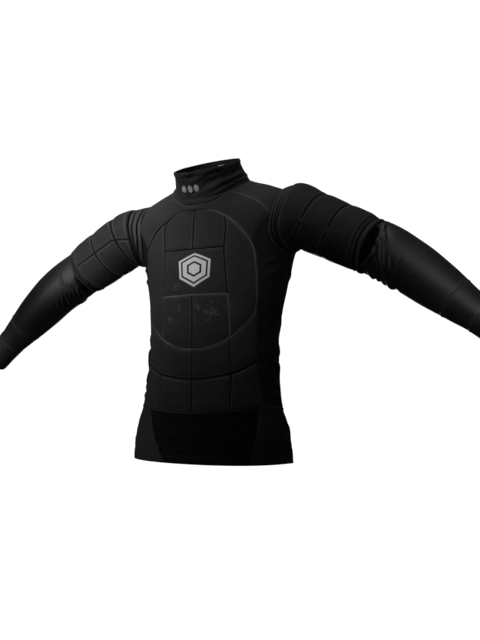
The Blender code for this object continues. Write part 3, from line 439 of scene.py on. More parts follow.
def inset(outline, distance):
    ahead = np.roll(outline, -1, axis=0)
    if (outline[:, 0] * ahead[:, 1] - ahead[:, 0] * outline[:, 1]).sum() < 0:
        outline = outline[::-1]
    before = unit(outline - np.roll(outline, 1, axis=0))
    after = unit(np.roll(outline, -1, axis=0) - outline)
    left = np.stack([-before[:, 1], before[:, 0]], 1)
    right = np.stack([-after[:, 1], after[:, 0]], 1)
    return outline + (left + right) * (distance / np.maximum(1 + (left * right).sum(1), 0.3))[:, None]


def inside(points, outline):
    result = np.zeros(len(points), bool)
    for (xa, ya), (xb, yb) in zip(outline, np.roll(outline, -1, axis=0)):
        if ya != yb:
            crosses = (ya > points[:, 1]) != (yb > points[:, 1])
            result ^= crosses & (points[:, 0] < (xb - xa) * (points[:, 1] - ya) / (yb - ya) + xa)
    return result


def kept_apart(kept, pool, least):
    """Points of a pool that are clear of those already kept, thinned to about the same distance."""
    tree = kdtree.KDTree(len(kept))
    for index, point in enumerate(kept):
        tree.insert((*point, 0), index)
    tree.balance()
    cells = set()
    out = []
    for point in pool:
        cell = (int(point[0] // least), int(point[1] // least))
        if cell not in cells and tree.find((*point, 0))[2] > least:
            cells.add(cell)
            out.append(point)
    return np.array(out).reshape(-1, 2)


def beside(line, distance):
    run = unit(np.gradient(line, axis=0))
    across = np.stack([-run[:, 1], run[:, 0]], 1) * distance
    return np.concatenate([line + across, line - across])


# --- mesh ---

def add_piece(name, points, faces, corners=None, marks=None):
    """A mesh with a flat pattern in metres for each face corner and marks for each point."""
    mesh = bpy.data.meshes.new(name)
    mesh.from_pydata(np.asarray(points, float).tolist(), [], faces)
    if corners is not None:
        pattern = mesh.uv_layers.new(name="pattern")
        pattern.data.foreach_set("uv", np.asarray(corners, np.float32).ravel())
    for mark, values in (marks or {}).items():
        layer = mesh.attributes.new(mark, "FLOAT", "POINT")
        layer.data.foreach_set("value", np.asarray(values, np.float32).ravel())
    made = bpy.data.objects.new(name, mesh)
    bpy.context.scene.collection.objects.link(made)
    bpy.ops.object.select_all(action="DESELECT")
    made.select_set(True)
    bpy.context.view_layer.objects.active = made
    bpy.ops.object.shade_smooth_by_angle(angle=math.radians(62))
    return made


def pad_rise(away, floor, full):
    """Thickness of a quilted pad at a distance from its stitching: a tight roll and then a slow crown."""
    return floor + (full - floor) * (0.68 * (1 - np.exp(-(away / 0.0021) ** 2)) + 0.32 * smooth(away / 0.017))


def open_edges(faces):
    """Edges that one face alone has, each in the direction in which the face runs."""
    edges = dict.fromkeys(pair for face in faces for pair in zip(face, face[1:] + face[:1]))
    return [(a, b) for a, b in edges if (b, a) not in edges]


def panel(name, outline, spacing, quilting=(), creases=()):
    """A cut panel of body cloth: padded and quilted where it has quilting lines, else plain and creased."""
    edge = inset(outline, SEAM_GAP / 2)
    ends = np.roll(edge, -1, axis=0)
    kept = edge
    links = [(i, (i + 1) % len(edge)) for i in range(len(edge))]
    for line in quilting:
        good = inside(line, edge) & (distance_to(line, edge, ends) > 0.0022)
        first = len(kept)
        kept = np.concatenate([kept, line[good]])
        index = np.cumsum(good) - 1 + first
        links += [(int(index[i]), int(index[i + 1])) for i in range(len(line) - 1) if good[i] and good[i + 1]]
    rows = [(beside(edge, reach), least) for reach, least in BESIDE_EDGE]
    if quilting:
        rows += [(np.concatenate([beside(line, reach) for line in quilting]), least)
                 for reach, least in BESIDE_QUILTING]
    low, high = edge.min(0), edge.max(0)
    grid = [(x + (spacing / 2 if row % 2 else 0), y)
            for row, y in enumerate(np.arange(low[1], high[1], spacing * 0.87))
            for x in np.arange(low[0], high[0], spacing)]
    rows.append((np.array(grid), spacing * 0.52))
    for pool, least in rows:
        pool = pool[inside(pool, edge)]
        pool = pool[distance_to(pool, edge, ends) > least * 0.9]
        kept = np.concatenate([kept, kept_apart(kept, pool, least)])
    found = delaunay_2d_cdt(kept.tolist(), links, [list(range(len(edge)))], 1, 1e-6)
    plane = np.array([tuple(v) for v in found[0]])
    triangles = np.array([tuple(f) for f in found[2]])
    from_edge = distance_to(plane, edge, ends)
    away = from_edge
    if quilting:
        from_line = np.min([distance_to(plane, line[:-1], line[1:]) * tight
                            for line, tight in zip(quilting, QUILT_TIGHT)], axis=0)
        away = np.minimum(from_edge, from_line)
        floor = np.where(from_edge < from_line, PAD_EDGE, QUILT_FLOOR)
        height = pad_rise(away, floor, PAD)
        pucker = uneven(plane, 0.0105) * np.exp(-((away - 0.0045) / 0.0040) ** 2)
        height = height + 0.00042 * pucker + 0.0006 * uneven(plane, 0.055, 2.0) * smooth(away / 0.012)
        bottom = np.zeros(len(plane))
    else:
        height = PLAIN * (0.55 + 0.45 * smooth(away / 0.0026))
        bottom = (fold_rise(plane, creases, FLAT) + 0.0005 * uneven(plane, 0.045, 1.0)) * smooth(away / 0.016)
    over = body(plane, bottom + height)
    under = body(plane, bottom)
    count = len(plane)
    rim = open_edges(triangles.tolist())
    faces = triangles.tolist() + (triangles[:, ::-1] + count).tolist()
    faces += [(b, a, a + count, b + count) for a, b in rim]
    corner_points = np.concatenate([triangles.ravel(), triangles[:, ::-1].ravel()])
    corners = np.concatenate([plane[corner_points], plane[np.array([(b, a, a, b) for a, b in rim]).ravel()]])
    # The distance from the edges and quilting lines darkens their grooves in the finish, partly seam dark and partly
    # painted shade, with paler ridges beside them, rubbed wear and painted highlight.
    return add_piece(f"{name}_cloth", np.concatenate([over, under]), faces, corners,
                     {"from_seam": np.tile(np.minimum(away, 0.03), 2)})


def grid_normals(rows):
    """Outward normals of a grid of closed rings."""
    around = np.roll(rows, -1, axis=1) - np.roll(rows, 1, axis=1)
    normal = unit(np.cross(around, np.gradient(rows, axis=0)))
    if ((rows - rows.mean(axis=1, keepdims=True)) * normal).sum() < 0:
        normal = -normal
    return normal


def tube(name, under, over, places, from_seam=None, metres=0.06):
    """A closed wall between two grids of rings, the first inside the second."""
    count, around = under.shape[:2]
    total = count * around
    turning = np.cross(np.roll(over, -1, axis=1) - over, np.gradient(over, axis=0))
    outward = ((over - over.mean(axis=1, keepdims=True)) * turning).sum() > 0
    row, place = np.meshgrid(np.arange(count - 1), np.arange(around), indexing="ij")
    row, place = row.ravel(), place.ravel()
    after = (place + 1) % around
    wall = np.stack([row * around + place, row * around + after, (row + 1) * around + after,
                     (row + 1) * around + place], 1)
    step = 2 * math.pi * metres / around
    places = np.asarray(places, float)
    u = np.stack([place, place + 1, place + 1, place], 1) * step
    v = np.stack([places[row], places[row], places[row + 1], places[row + 1]], 1)
    pattern = np.stack([u, v], -1)
    here = np.arange(around)
    there = (here + 1) % around
    last = (count - 1) * around
    first_rim = np.stack([here, total + here, total + there, there], 1)
    last_rim = np.stack([last + here, last + there, total + last + there, total + last + here], 1)
    rim_u = np.stack([here, here + 1], 1) * step
    first_pattern = np.stack([rim_u[:, [0, 0, 1, 1]], np.full((around, 4), places[0])], -1)
    last_pattern = np.stack([rim_u[:, [0, 1, 1, 0]], np.full((around, 4), places[-1])], -1)
    faces = np.concatenate([wall, (wall + total)[:, ::-1], first_rim, last_rim])
    corners = np.concatenate([pattern, pattern[:, ::-1], first_pattern, last_pattern])
    if not outward:
        faces = faces[:, ::-1]
        corners = corners[:, ::-1]
    if from_seam is None:
        from_seam = np.full(under.shape[:2], 0.03)
    marks = {"from_seam": np.tile(np.minimum(from_seam, 0.03).ravel(), 2)}
    return add_piece(f"{name}_cloth", np.concatenate([over.reshape(-1, 3), under.reshape(-1, 3)]), faces.tolist(),
                     corners.reshape(-1, 2), marks)


# --- sleeves ---

def arm_axis(side, along):
    pose = ARM_POSE[side]
    fall, swing = math.radians(pose["fall"]), math.radians(ARM["swing"])
    fore_fall, fore_swing = math.radians(pose["fore_fall"]), math.radians(ARM["fore_swing"])
    upper = np.array([side * math.cos(fall) * math.cos(swing), -math.cos(fall) * math.sin(swing), -math.sin(fall)])
    fore = np.array([side * math.cos(fore_fall) * math.cos(fore_swing),
                     -math.cos(fore_fall) * math.sin(fore_swing), -math.sin(fore_fall)])
    share = min(max((along - BEND_START) / BEND_LENGTH, 0.0), 1.0)
    turned = BEND_LENGTH * (share ** 3 - share ** 4 / 2) + max(along - BEND_START - BEND_LENGTH, 0.0)
    start = np.array([side * ARM["out"], ARM["front"], pose["height"]])
    mix = share * share * (3 - 2 * share)
    return start + upper * (along - turned) + fore * turned, unit(upper * (1 - mix) + fore * mix)


def arm_ring(side, along, radius, angle=ROUND):
    centre, aim = arm_axis(side, along)
    front = np.array([0.0, -1.0, 0.0])
    front = unit(front - aim * (front @ aim))
    up = np.cross(front, aim) * side
    up = -up if up[2] < 0 else up
    angle = np.radians(angle)[:, None]
    return centre + np.reshape(radius, (-1, 1)) * (np.cos(angle) * front + np.sin(angle) * up)


def over_radius(along):
    return float(rows_at(OVER, along)[0])


def cap_ring(side, share):
    """Inner face between the armhole, at 0, and the first whole ring of the over-sleeve, at 1."""
    start = body(armhole(side))
    base, aim = arm_axis(side, 0.0)
    axial = (start - base) @ aim
    radial = start - base - axial[:, None] * aim
    ring = arm_ring(side, 0.0, over_radius(CAP_END)) - base
    over = np.maximum(UPWARD, 0.0)
    mix = (1 - (1 - share) ** (1.35 + CAP_SHAPE[side][0] * over))[:, None]
    bulge = CAP_SHAPE[side][1] * math.sin(math.pi * min(share, 1.0)) * over[:, None]
    place = axial + (CAP_END - axial) * share
    return base + place[:, None] * aim + radial * (1 - mix) + ring * mix + unit(ring) * bulge


def cap_place(share):
    return CAP_END - 0.098 * (1 - share)


def over_rows(side, shares, alongs):
    rows = [cap_ring(side, share) for share in shares]
    rows += [arm_ring(side, along, over_radius(along)) for along in alongs]
    return np.stack(rows), np.concatenate([[cap_place(s) for s in shares], alongs])


def round_plane(places, metres):
    angle = ANGLES * metres
    return np.stack(np.broadcast_arrays(angle[None, :], np.asarray(places)[:, None]), -1)


def rise_round(places, creases, metres=UNDER_ROUND):
    """Height that creases add round a sleeve, at each place along it."""
    plane = round_plane(places, metres)
    full = 2 * math.pi * metres
    return sum(crease_rise(plane + (shift * full, 0), creases, metres) for shift in (-1, 0, 1))


def turn_from(angle):
    """Degrees from each place round a sleeve to one angle, from -180 to 180."""
    return (ROUND - angle + 180.0) % 360.0 - 180.0


def under_arm():
    """How far each place round a sleeve lies under the arm, from 0 to 1."""
    return smooth((-UPWARD - 0.1) / 0.9)


def along_arm(side, rows):
    """Distance along the straight part of the arm of each point of some rows."""
    base, aim = arm_axis(side, 0.0)
    return (rows - base) @ aim


def drawn_in(rows, ends=(0, -1)):
    """Draws the end rings of a sleeve's cloth back by half a seam gap."""
    for end in ends:
        rows[end] += unit(rows[1 if end == 0 else -2] - rows[end]) * SEAM_GAP / 2


def strip(side, word):
    shares = np.linspace(0.0, PAD_START, 58)
    rows = np.stack([cap_ring(side, share) for share in shares])
    drawn_in(rows)
    normal = grid_normals(rows)
    normal[0] = body_normal(armhole(side))
    normal[1] = unit(normal[0] + normal[2])
    places = cap_place(shares)
    turn = turn_from(0.0)
    wave = 0.008 * np.sin(ANGLES * 5 + side)
    angle, first, second = np.array(STRIP_VALLEYS).T
    first, second = np.interp(turn, angle, first) + wave, np.interp(turn, angle, second) - wave
    slit = np.exp(-((turn + 28) / 50) ** 4)
    away_first, away_second = np.abs(shares[:, None] - first), np.abs(shares[:, None] - second)
    ends = np.minimum(shares, PAD_START - shares)[:, None]
    ridge = 1.30 + 1.00 * slit - (1.00 + 1.30 * slit) * np.exp(-(away_first / (0.013 + 0.002 * slit)) ** 2)
    ridge = ridge - (0.90 + 1.20 * slit) * np.exp(-(away_second / (0.012 + 0.002 * slit)) ** 2)
    ridge = np.minimum(ridge, 0.45 + 0.9 * (1 - np.exp(-(ends / 0.022) ** 2)) + 0.5 * slit * smooth(ends / 0.05))
    rise = STRIP * np.maximum(ridge, 0.22)
    # The two valleys get the finish's dark groove grey, painted shade; the strip's edges at its seams get it too.
    away = np.minimum(np.minimum(away_first, away_second), ends)
    return tube(f"armhole_strip_{word}", rows, rows + normal * rise[..., None], places, away * (0.10 - 0.04 * slit))


def seam_places(side):
    """Place of each ring seam of the over-sleeve at each angle. It steps where it meets the seam along the arm,
    and it sits nearer the shoulder under the arm."""
    step = RING_JOG * smooth((turn_from(LONG_SEAM - 90) + 90) / 6) * (side == 1)
    back = 0.012 * under_arm()
    return [place - step - back * (side == 1) for place in OVER_SEAMS[side]["rings"]]


def over_sleeve(side, word):
    end = OVER_SEAMS[side]["pad_end"]
    rows, places = over_rows(side, np.linspace(PAD_START, 1.0, 38)[:-1],
                             np.linspace(CAP_END, end, round((end - CAP_END) / 0.0018)))
    normal = grid_normals(rows)
    along = along_arm(side, rows)
    drawn_in(rows)
    ring = np.min([np.abs(along - seam) for seam in seam_places(side)], axis=0)
    joint = np.exp(-(turn_from(LONG_SEAM) / 4.0) ** 2)
    long = np.abs(np.radians(turn_from(LONG_SEAM)))[None, :] * OVER_ROUND + 0 * ring
    full = PAD * (1 - 0.35 * under_arm())
    rise = pad_rise(ring, QUILT_FLOOR, full)
    if side == 1:
        rise = rise + (full - rise) * 0.80 * joint
        rise = rise - 0.0005 * np.exp(-(long / 0.0030) ** 2) * smooth((along - 0.07) / 0.02)
        ring = ring + 0.004 * joint
        long = np.full_like(ring, 0.03)
    else:
        rise = np.minimum(rise, pad_rise(long, QUILT_FLOOR + 0.0012, full))
    ends = np.minimum(np.linspace(0, 1, len(places)) * 0.08 + 0.0002, end - places)[:, None]
    rise = np.minimum(rise, pad_rise(np.maximum(ends, 0), PAD_EDGE, full))
    plane = round_plane(places, OVER_ROUND)
    away = np.minimum(np.minimum(ring, long), ends)
    rise = rise + 0.0004 * uneven(plane, 0.0105, side) * np.exp(-((away - 0.0045) / 0.004) ** 2)
    rise = rise + 0.0007 * uneven(plane, 0.050, side + 2.0) * smooth(away / 0.012)
    # The distance from the seams and ends darkens their grooves in the finish, partly painted shade, with paler
    # ridges beside them, partly painted highlight.
    return tube(f"over_sleeve_{word}", rows, rows + normal * rise[..., None], places, away, OVER_ROUND)


def band(side, word):
    start, end = OVER_SEAMS[side]["pad_end"] + SEAM_GAP / 2, OVER_SEAMS[side]["band_end"]
    places = np.linspace(start, end, 44)
    rows = np.stack([arm_ring(side, place, over_radius(place)) for place in places])
    share = ((places - start) / (end - start))[:, None] + 0.022 * np.sin(ANGLES * 4 + side)
    first, valley, second = BAND_ROLLS[side]
    roll = np.exp(-((share - first[0]) / first[1]) ** 2) * first[2]
    roll = np.maximum(roll, np.exp(-np.abs((share - second[0]) / second[1]) ** 2.6) * second[2])
    roll = np.maximum(roll, 0.30)
    rise = BAND * (0.12 + roll - 0.10 * np.exp(-((share - valley) / 0.05) ** 2))
    wrinkle = uneven(round_plane(places, OVER_ROUND) * (1, 2.6), 0.016, side)
    rise = rise + 0.00045 * wrinkle
    # The furrow between the rolls gets the finish's dark groove grey, painted shade, as do the band's seamed edges.
    away = np.minimum(np.abs(share - valley) * 0.9, np.minimum(share, 1 - share)) * 0.025
    return tube(f"sleeve_band_{word}", rows, rows + grid_normals(rows) * rise[..., None], places,
                np.maximum(away, 0), OVER_ROUND)


def under_sleeve(side, word):
    """Under-sleeve from the armhole, inside the over-sleeve, to the seam on the forearm."""
    band_end = OVER_SEAMS[side]["band_end"]
    rows, places = over_rows(side, np.linspace(0.42, 1.0, 6), np.linspace(0.075, band_end - 0.003, 4))
    rows = rows - grid_normals(rows) * np.array(HIDDEN_CLEARANCE)[:, None, None]
    gathered_part = np.arange(band_end - 0.0006, GATHERS_END, 0.0013)
    visible = np.concatenate([gathered_part, np.linspace(GATHERS_END, FOREARM_END, 50)])
    edges, deep = HOLLOWS[side]
    edge = np.interp(turn_from(0.0), *np.array(edges).T)
    edge = edge + 0.0010 * np.sin(ANGLES * 9)
    wide = smooth((edge - band_end) / 0.012)
    hollow = wide * smooth((edge - visible[:, None]) / 0.0062 + 0.45)
    gathered = wide * smooth((edge + 0.034 - visible[:, None]) / 0.022) * (side == 1)
    above = np.maximum(UPWARD, 0) * np.exp(-((visible[:, None] - band_end) / 0.05) ** 2)
    tuck = smooth((visible[:, None] - band_end - 0.0004) / 0.0045)
    wide_open = rows_at(FOREARM, visible) + TOP_LIFT[side] * above - deep * hollow - 0.0022 * gathered * (1 - hollow)
    radius = TUCKED + (wide_open - TUCKED) * tuck
    lower = np.stack([arm_ring(side, s, radius[i]) for i, s in enumerate(visible)])
    plane = round_plane(visible, UNDER_ROUND)
    rise = rise_round(visible, GATHERS[side]) * tuck + 0.0005 * uneven(plane, 0.06, side) * tuck
    lower = lower + grid_normals(lower) * rise[..., None]
    over = np.concatenate([rows, lower])
    places = np.concatenate([places, visible])
    drawn_in(over, (-1,))
    # Crests of the gathers get the paler ridge grey: painted highlight, partly rubbed wear.
    wear_and_painted_light = np.where(rise > 0.0007, 0.012 - 0.0075 * smooth((rise - 0.0007) / 0.0016), 0.03)
    # Valleys between the gathers get the dark groove grey: painted shade.
    wear_and_painted_light = np.minimum(wear_and_painted_light, 0.03 - 0.0283 * gathered * smooth((0.0006 - rise) / 0.0005))
    # The hollow under the band gets the dark groove grey: painted shadow.
    wear_and_painted_light = np.minimum(wear_and_painted_light, 0.03 * (1 - hollow * smooth(1 - (rise - 0.0003) / 0.001)))
    wear_and_painted_light = np.concatenate([np.full((len(rows), len(ROUND)), 0.03), wear_and_painted_light])
    return tube(f"under_sleeve_{word}", over - grid_normals(over) * UNDER, over, places,
                np.minimum(np.abs(places - FOREARM_END)[:, None], wear_and_painted_light), UNDER_ROUND)


def ring_sleeve(name, side, table, thick):
    first, last = table[0][0], table[-1][0]
    places = np.linspace(first, last, round((last - first) / 0.0022) + 1)
    radius = rows_at(table, places)
    over = np.stack([arm_ring(side, s, radius[i]) for i, s in enumerate(places)])
    ends = np.minimum(places - first, last - places)[:, None]
    rise = 0.0004 * uneven(round_plane(places, WRIST_ROUND), 0.04, side)
    over = over + grid_normals(over) * (rise * smooth(ends / 0.008))[..., None]
    drawn_in(over)
    return tube(name, over - grid_normals(over) * thick, over, places, ends + np.zeros(len(ROUND)), WRIST_ROUND)


# --- collar ---

def collar_rows(shares, turn):
    base_plane = flat(np.stack([turn, np.full(len(turn), TOP)], -1))
    base = body(base_plane)
    inward = unit(base - body(base_plane - (0, 0.004)))
    sine, cosine = np.sin(np.radians(turn)), np.cos(np.radians(turn))
    rim_y = RIM["middle_y"] - RIM["half_depth"] * cosine
    rim = np.stack([RIM["half_width"] * sine, rim_y, RIM["height"] + RIM["tilt"] * (rim_y - RIM["middle_y"])], -1)
    base = base + inward * SEAM_GAP * 0.8
    guide = base + inward * COLLAR_CURL
    rows = np.stack([base * (1 - h) ** 2 + guide * 2 * h * (1 - h) + rim * h * h for h in shares])
    normal = grid_normals(rows)
    normal[0] = body_normal(base_plane)
    plane = np.stack(np.broadcast_arrays((np.radians(turn) * COLLAR_ROUND)[None, :],
                                         (shares * COLLAR_HIGH)[:, None]), -1)
    folds = [(a, b * COLLAR_HIGH, c, d * COLLAR_HIGH, w, h) for a, b, c, d, w, h in COLLAR_FOLDS]
    full = 2 * math.pi * COLLAR_ROUND
    rise = sum(fold_rise(plane + (shift * full, 0), folds, COLLAR_ROUND) for shift in (-1, 0, 1))
    rise = rise * (smooth(shares / 0.12) * smooth((1.06 - shares) / 0.14))[:, None]
    rise = rise + 0.0006 * uneven(plane, 0.03) * smooth(shares / 0.15)[:, None]
    rise = rise + 0.0016 * uneven(plane * (1, 0), 0.05, 1.0) * smooth((shares - 0.6) / 0.4)[:, None]
    return rows + normal * rise[..., None], normal


def collar_thickness(shares):
    roll = smooth((shares - 0.915) / 0.025) * np.sqrt(np.maximum(1 - ((shares - 0.965) / 0.05) ** 2, 0.0))
    return COLLAR * (0.7 + 0.3 * smooth(shares / 0.03)) + (COLLAR_ROLL - COLLAR) * roll


def collar():
    shares = np.concatenate([np.linspace(0, 0.90, 38), np.linspace(0.915, 1.0, 12)])
    turn = np.arange(0, 360, 3.0)
    rows, normal = collar_rows(shares, turn)
    over = rows + normal * collar_thickness(shares)[:, None, None]
    # The neck seam and, faintly, the foot of the rim's roll get the darker groove grey, painted shade at the roll,
    # with paler ridge grey beside them as painted highlight.
    away = np.minimum(shares, np.abs(shares - 0.915) + 0.026) * COLLAR_HIGH
    return tube("collar", rows, over, shares * COLLAR_HIGH, away[:, None] + np.zeros(len(turn)), COLLAR_ROUND)


def neck_label():
    """Small folded label on the inner face of the collar's back."""
    turn = np.linspace(*LABEL_TURNS, LABEL_GRID[1])
    shares = np.linspace(*LABEL_SHARES, LABEL_GRID[0])
    whole = np.arange(0, 360, 2.5)
    rows, normal = collar_rows(shares, whole)

    def at(grid):
        return np.stack([np.stack([np.interp(turn, whole, row[:, axis]) for axis in range(3)], -1) for row in grid])

    base, out = at(rows), unit(at(normal))
    to_end, to_side = (np.minimum(np.arange(n), np.arange(n)[::-1]) for n in LABEL_GRID)
    edge = np.minimum(to_end[:, None], to_side[None, :])
    puff = LABEL * (0.6 + 0.4 * smooth(edge / 2.0))
    near = base - out * 0.0006
    far = near - out * puff[..., None]
    down, across = LABEL_GRID
    count = down * across
    row, place = np.meshgrid(np.arange(down - 1), np.arange(across - 1), indexing="ij")
    a = (row * across + place).ravel()
    wall = np.stack([a, a + 1, a + 1 + across, a + across], 1)
    rim = [(b, a, a + count, b + count) for a, b in open_edges(wall.tolist())]
    faces = wall.tolist() + (wall + count)[:, ::-1].tolist() + rim
    pattern = np.stack(np.meshgrid(turn * math.radians(1) * COLLAR_ROUND, shares * COLLAR_HIGH), -1).reshape(-1, 2)
    corners = np.concatenate([pattern[np.array(f) % count] for f in faces])
    return add_piece("neck_label_cloth", np.concatenate([near.reshape(-1, 3), far.reshape(-1, 3)]), faces, corners)


# --- thread ---

def stitch_shape():
    """One stitch: a small rounded stroke along X, pressed flat."""
    bpy.ops.object.select_all(action="DESELECT")
    bpy.ops.mesh.primitive_ico_sphere_add(subdivisions=1, radius=0.5)
    made = bpy.context.active_object
    bpy.ops.object.mode_set(mode="EDIT")
    bpy.ops.mesh.select_all(action="SELECT")
    bpy.ops.transform.resize(value=(STITCH["length"], STITCH["thick"], STITCH["thick"] * 0.8))
    bpy.ops.object.mode_set(mode="OBJECT")
    points = np.array([v.co for v in made.data.vertices])
    faces = np.array([tuple(f.vertices) for f in made.data.polygons])
    bpy.data.objects.remove(made)
    return points, faces


STITCH_POINTS, STITCH_FACES = stitch_shape()


def spaced(points, normals, pitch, closed=False):
    """Places at one pitch along a line, with the way ahead and the way out at each."""
    if closed:
        points = np.concatenate([points, points[:1]])
        normals = np.concatenate([normals, normals[:1]])
    reach = np.concatenate([[0], np.cumsum(np.linalg.norm(np.diff(points, axis=0), axis=1))])
    count = max(2, int(reach[-1] / pitch))
    where = (np.arange(count) + 0.5) * reach[-1] / count

    def at(values, place):
        return np.stack([np.interp(place, reach, values[:, axis]) for axis in range(3)], -1)

    ahead = unit(at(points, where + 0.0012) - at(points, where - 0.0012))
    return at(points, where), ahead, unit(at(normals, where))


def stitches(name, runs):
    """Rows of thread stitches, each run being points, normals, whether it closes, and a sideways lean."""
    all_points, all_faces = [], []
    total = 0
    for points, normals, closed, lean in runs:
        place, ahead, out = spaced(points, normals, STITCH["pitch"], closed)
        sideways = unit(np.cross(out, ahead))
        ahead = unit(ahead + sideways * lean)
        sideways = unit(np.cross(out, ahead))
        turned = (STITCH_POINTS[None, :, :1] * ahead[:, None] + STITCH_POINTS[None, :, 1:2] * sideways[:, None]
                  + STITCH_POINTS[None, :, 2:] * out[:, None])
        made = (place[:, None] + turned).reshape(-1, 3)
        count = len(place)
        faces = STITCH_FACES[None] + (np.arange(count) * len(STITCH_POINTS))[:, None, None] + total
        all_points.append(made)
        all_faces += faces.reshape(-1, 3).tolist()
        total += len(made)
    return add_piece(name, np.concatenate(all_points), all_faces)


def seam_cover(name, runs, width=SEAM_WIDTH, rise=SEAM_RISE):
    """Flatlock seams: low bands of thread over the joins, each run being points, normals and whether it closes."""
    section = np.array([(-0.5, -0.35), (-0.36, 0.55), (0.0, 1.0), (0.36, 0.55), (0.5, -0.35)])
    sides = len(section)
    all_points, faces, corners = [], [], []
    total = 0
    for points, normals, closed in runs:
        place, ahead, out = spaced(points, normals, 0.0030, closed)
        if closed:
            place, ahead, out = (np.concatenate([v, v[:1]]) for v in (place, ahead, out))
        sideways = unit(np.cross(out, ahead))
        ring = (place[:, None] + sideways[:, None] * section[None, :, :1] * width
                + out[:, None] * section[None, :, 1:] * rise)
        reach = np.concatenate([[0], np.cumsum(np.linalg.norm(np.diff(place, axis=0), axis=1))])
        across = section[:, 0] * width
        for row in range(len(place) - 1):
            for k in range(sides):
                j, a = (k + 1) % sides, total + row * sides
                faces.append((a + sides + k, a + sides + j, a + j, a + k))
                corners += [(reach[row + 1], across[k]), (reach[row + 1], across[j]),
                            (reach[row], across[j]), (reach[row], across[k])]
        for start, order in ((total, range(sides)), (total + (len(place) - 1) * sides, range(sides)[::-1])):
            faces.append(tuple(start + k for k in order))
            corners += [(0.0, across[k]) for k in order]
        all_points.append(ring.reshape(-1, 3))
        total += len(place) * sides
    return add_piece(name, np.concatenate(all_points), faces, corners)


# --- build the cloth ---

joint_left = armhole(1, FRONT_JOINT, FRONT_JOINT)
joint_turn = (math.degrees(joint_left[0, 0] / FLAT), joint_left[0, 1])
side_left = curve([joint_turn] + SIDE_SEAM)
side_right = mirrored(side_left)
shoulder_left = curve(SHOULDER_SEAM + [joint_turn])
shoulder_right = mirrored(shoulder_left)
back_joint = armhole(1, BACK_JOINT, BACK_JOINT)[0]
back_seam_left = curve([(math.degrees(back_joint[0] / FLAT), back_joint[1])] + BACK_SEAM)
back_foot_left = curve(BACK_FOOT)
hem_seam_left = curve(HEM_SEAM_LEFT)
hem_seam_right = curve(HEM_SEAM_RIGHT)
gusset_top = curve(GUSSET_TOP)
foot_left = curve([SIDE_SEAM[-1], HEM_SEAM_LEFT[0]])
foot_right = curve([HEM_SEAM_RIGHT[0], (-SIDE_SEAM[-1][0], SIDE_SEAM[-1][1])])
foot_middle = curve([HEM_SEAM_LEFT[0]] + PAD_FOOT + [(-t, l) for t, l in PAD_FOOT[::-1]][1:] + [HEM_SEAM_RIGHT[0]])


def both(points):
    """A line over both halves of the body, from points on one half that end or start at the middle."""
    half = points if points[-1][0] == 0 else points[::-1]
    return curve([(-t, l) for t, l in half] + half[::-1][1:], QUILT_STEP)


column = curve(COLUMN, QUILT_STEP)
QUILTING = [both(EGG), column, mirrored(column)]
QUILTING += [curve(line, QUILT_STEP) for line in (CENTRE_TOP, CENTRE_FOOT, BAR_TOP, BAR_FOOT)] + [both(SMILE)]
# How much narrower than the widest each quilting line's groove is
QUILT_TIGHT = (1.1, 1.7, 1.7, 1.6, 1.6, 1.5, 1.5, 1.0)


def level_line(first, last, level, spacing=FINE):
    count = max(1, round(abs(math.radians(last - first)) * FLAT / spacing))
    return flat([(first + (last - first) * i / count, level) for i in range(count + 1)])


pieces = {}


def keep(piece):
    pieces[piece.name.removesuffix("_cloth")] = piece


front_outline = joined(level_line(-48, 48, TOP), shoulder_left, side_left, foot_left, foot_middle, foot_right,
                       side_right[::-1], shoulder_right[::-1])
keep(panel("front_panel", front_outline, FINE, QUILTING))
keep(panel("front_hem_panel", joined(foot_middle, hem_seam_right,
                                     level_line(HEM_SEAM_RIGHT[-1][0], HEM_SEAM_LEFT[-1][0], 0.0),
                                     hem_seam_left[::-1]), FINE, (), HEM_CREASES))
full_turn = (2 * math.pi * FLAT, 0)
keep(panel("back_panel", joined(level_line(48, 312, TOP), shoulder_right + full_turn,
                                armhole(-1, FRONT_JOINT, BACK_JOINT) + full_turn, behind(back_seam_left),
                                behind(back_foot_left), level_line(360 - BACK_FOOT[-1][0], BACK_FOOT[-1][0], 0.0),
                                back_foot_left[::-1], back_seam_left[::-1],
                                armhole(1, FRONT_JOINT, BACK_JOINT)[::-1], shoulder_left[::-1]),
           PLAIN_STEP, (), BACK_CREASES))
for side, word in ((1, "left"), (-1, "right")):
    turned = (lambda plane: plane) if side == 1 else mirrored
    creases = [(side * a, b, side * c, d, w, h) for a, b, c, d, w, h in SIDE_CREASES]
    keep(panel(f"side_panel_{word}", joined(turned(side_left), turned(gusset_top), turned(back_seam_left)[::-1],
                                            armhole(side, BACK_JOINT, 360 + FRONT_JOINT)), FINE, (), creases))
    hem_seam = hem_seam_left if side == 1 else hem_seam_right
    foot = foot_left if side == 1 else foot_right[::-1]
    creases = [(side * a, b, side * c, d, w, h) for a, b, c, d, w, h in GUSSET_CREASES]
    hem_ends = (side * BACK_FOOT[-1][0], HEM_SEAM_LEFT[-1][0] if side == 1 else HEM_SEAM_RIGHT[-1][0])
    keep(panel(f"lower_side_{word}", joined(foot[::-1], turned(gusset_top), turned(back_foot_left),
                                            level_line(*hem_ends, 0.0), hem_seam[::-1]), FINE, (), creases))
    keep(strip(side, word))
    keep(over_sleeve(side, word))
    keep(band(side, word))
    keep(under_sleeve(side, word))
    keep(ring_sleeve(f"wrist_sleeve_{word}", side, WRIST, UNDER))
    keep(ring_sleeve(f"cuff_{word}", side, CUFF_SLEEVE, CUFF))
keep(collar())
keep(neck_label())


# --- thread on the body ---

def on_body(plane, height):
    return body(plane, height), body_normal(plane)


def on_quilting(line, height):
    return on_body(line[inside(line, front_outline)], QUILT_FLOOR + height)


keep(stitches("quilting_thread", [(*on_quilting(line, 0.0002), False, 0.0) for line in QUILTING]))
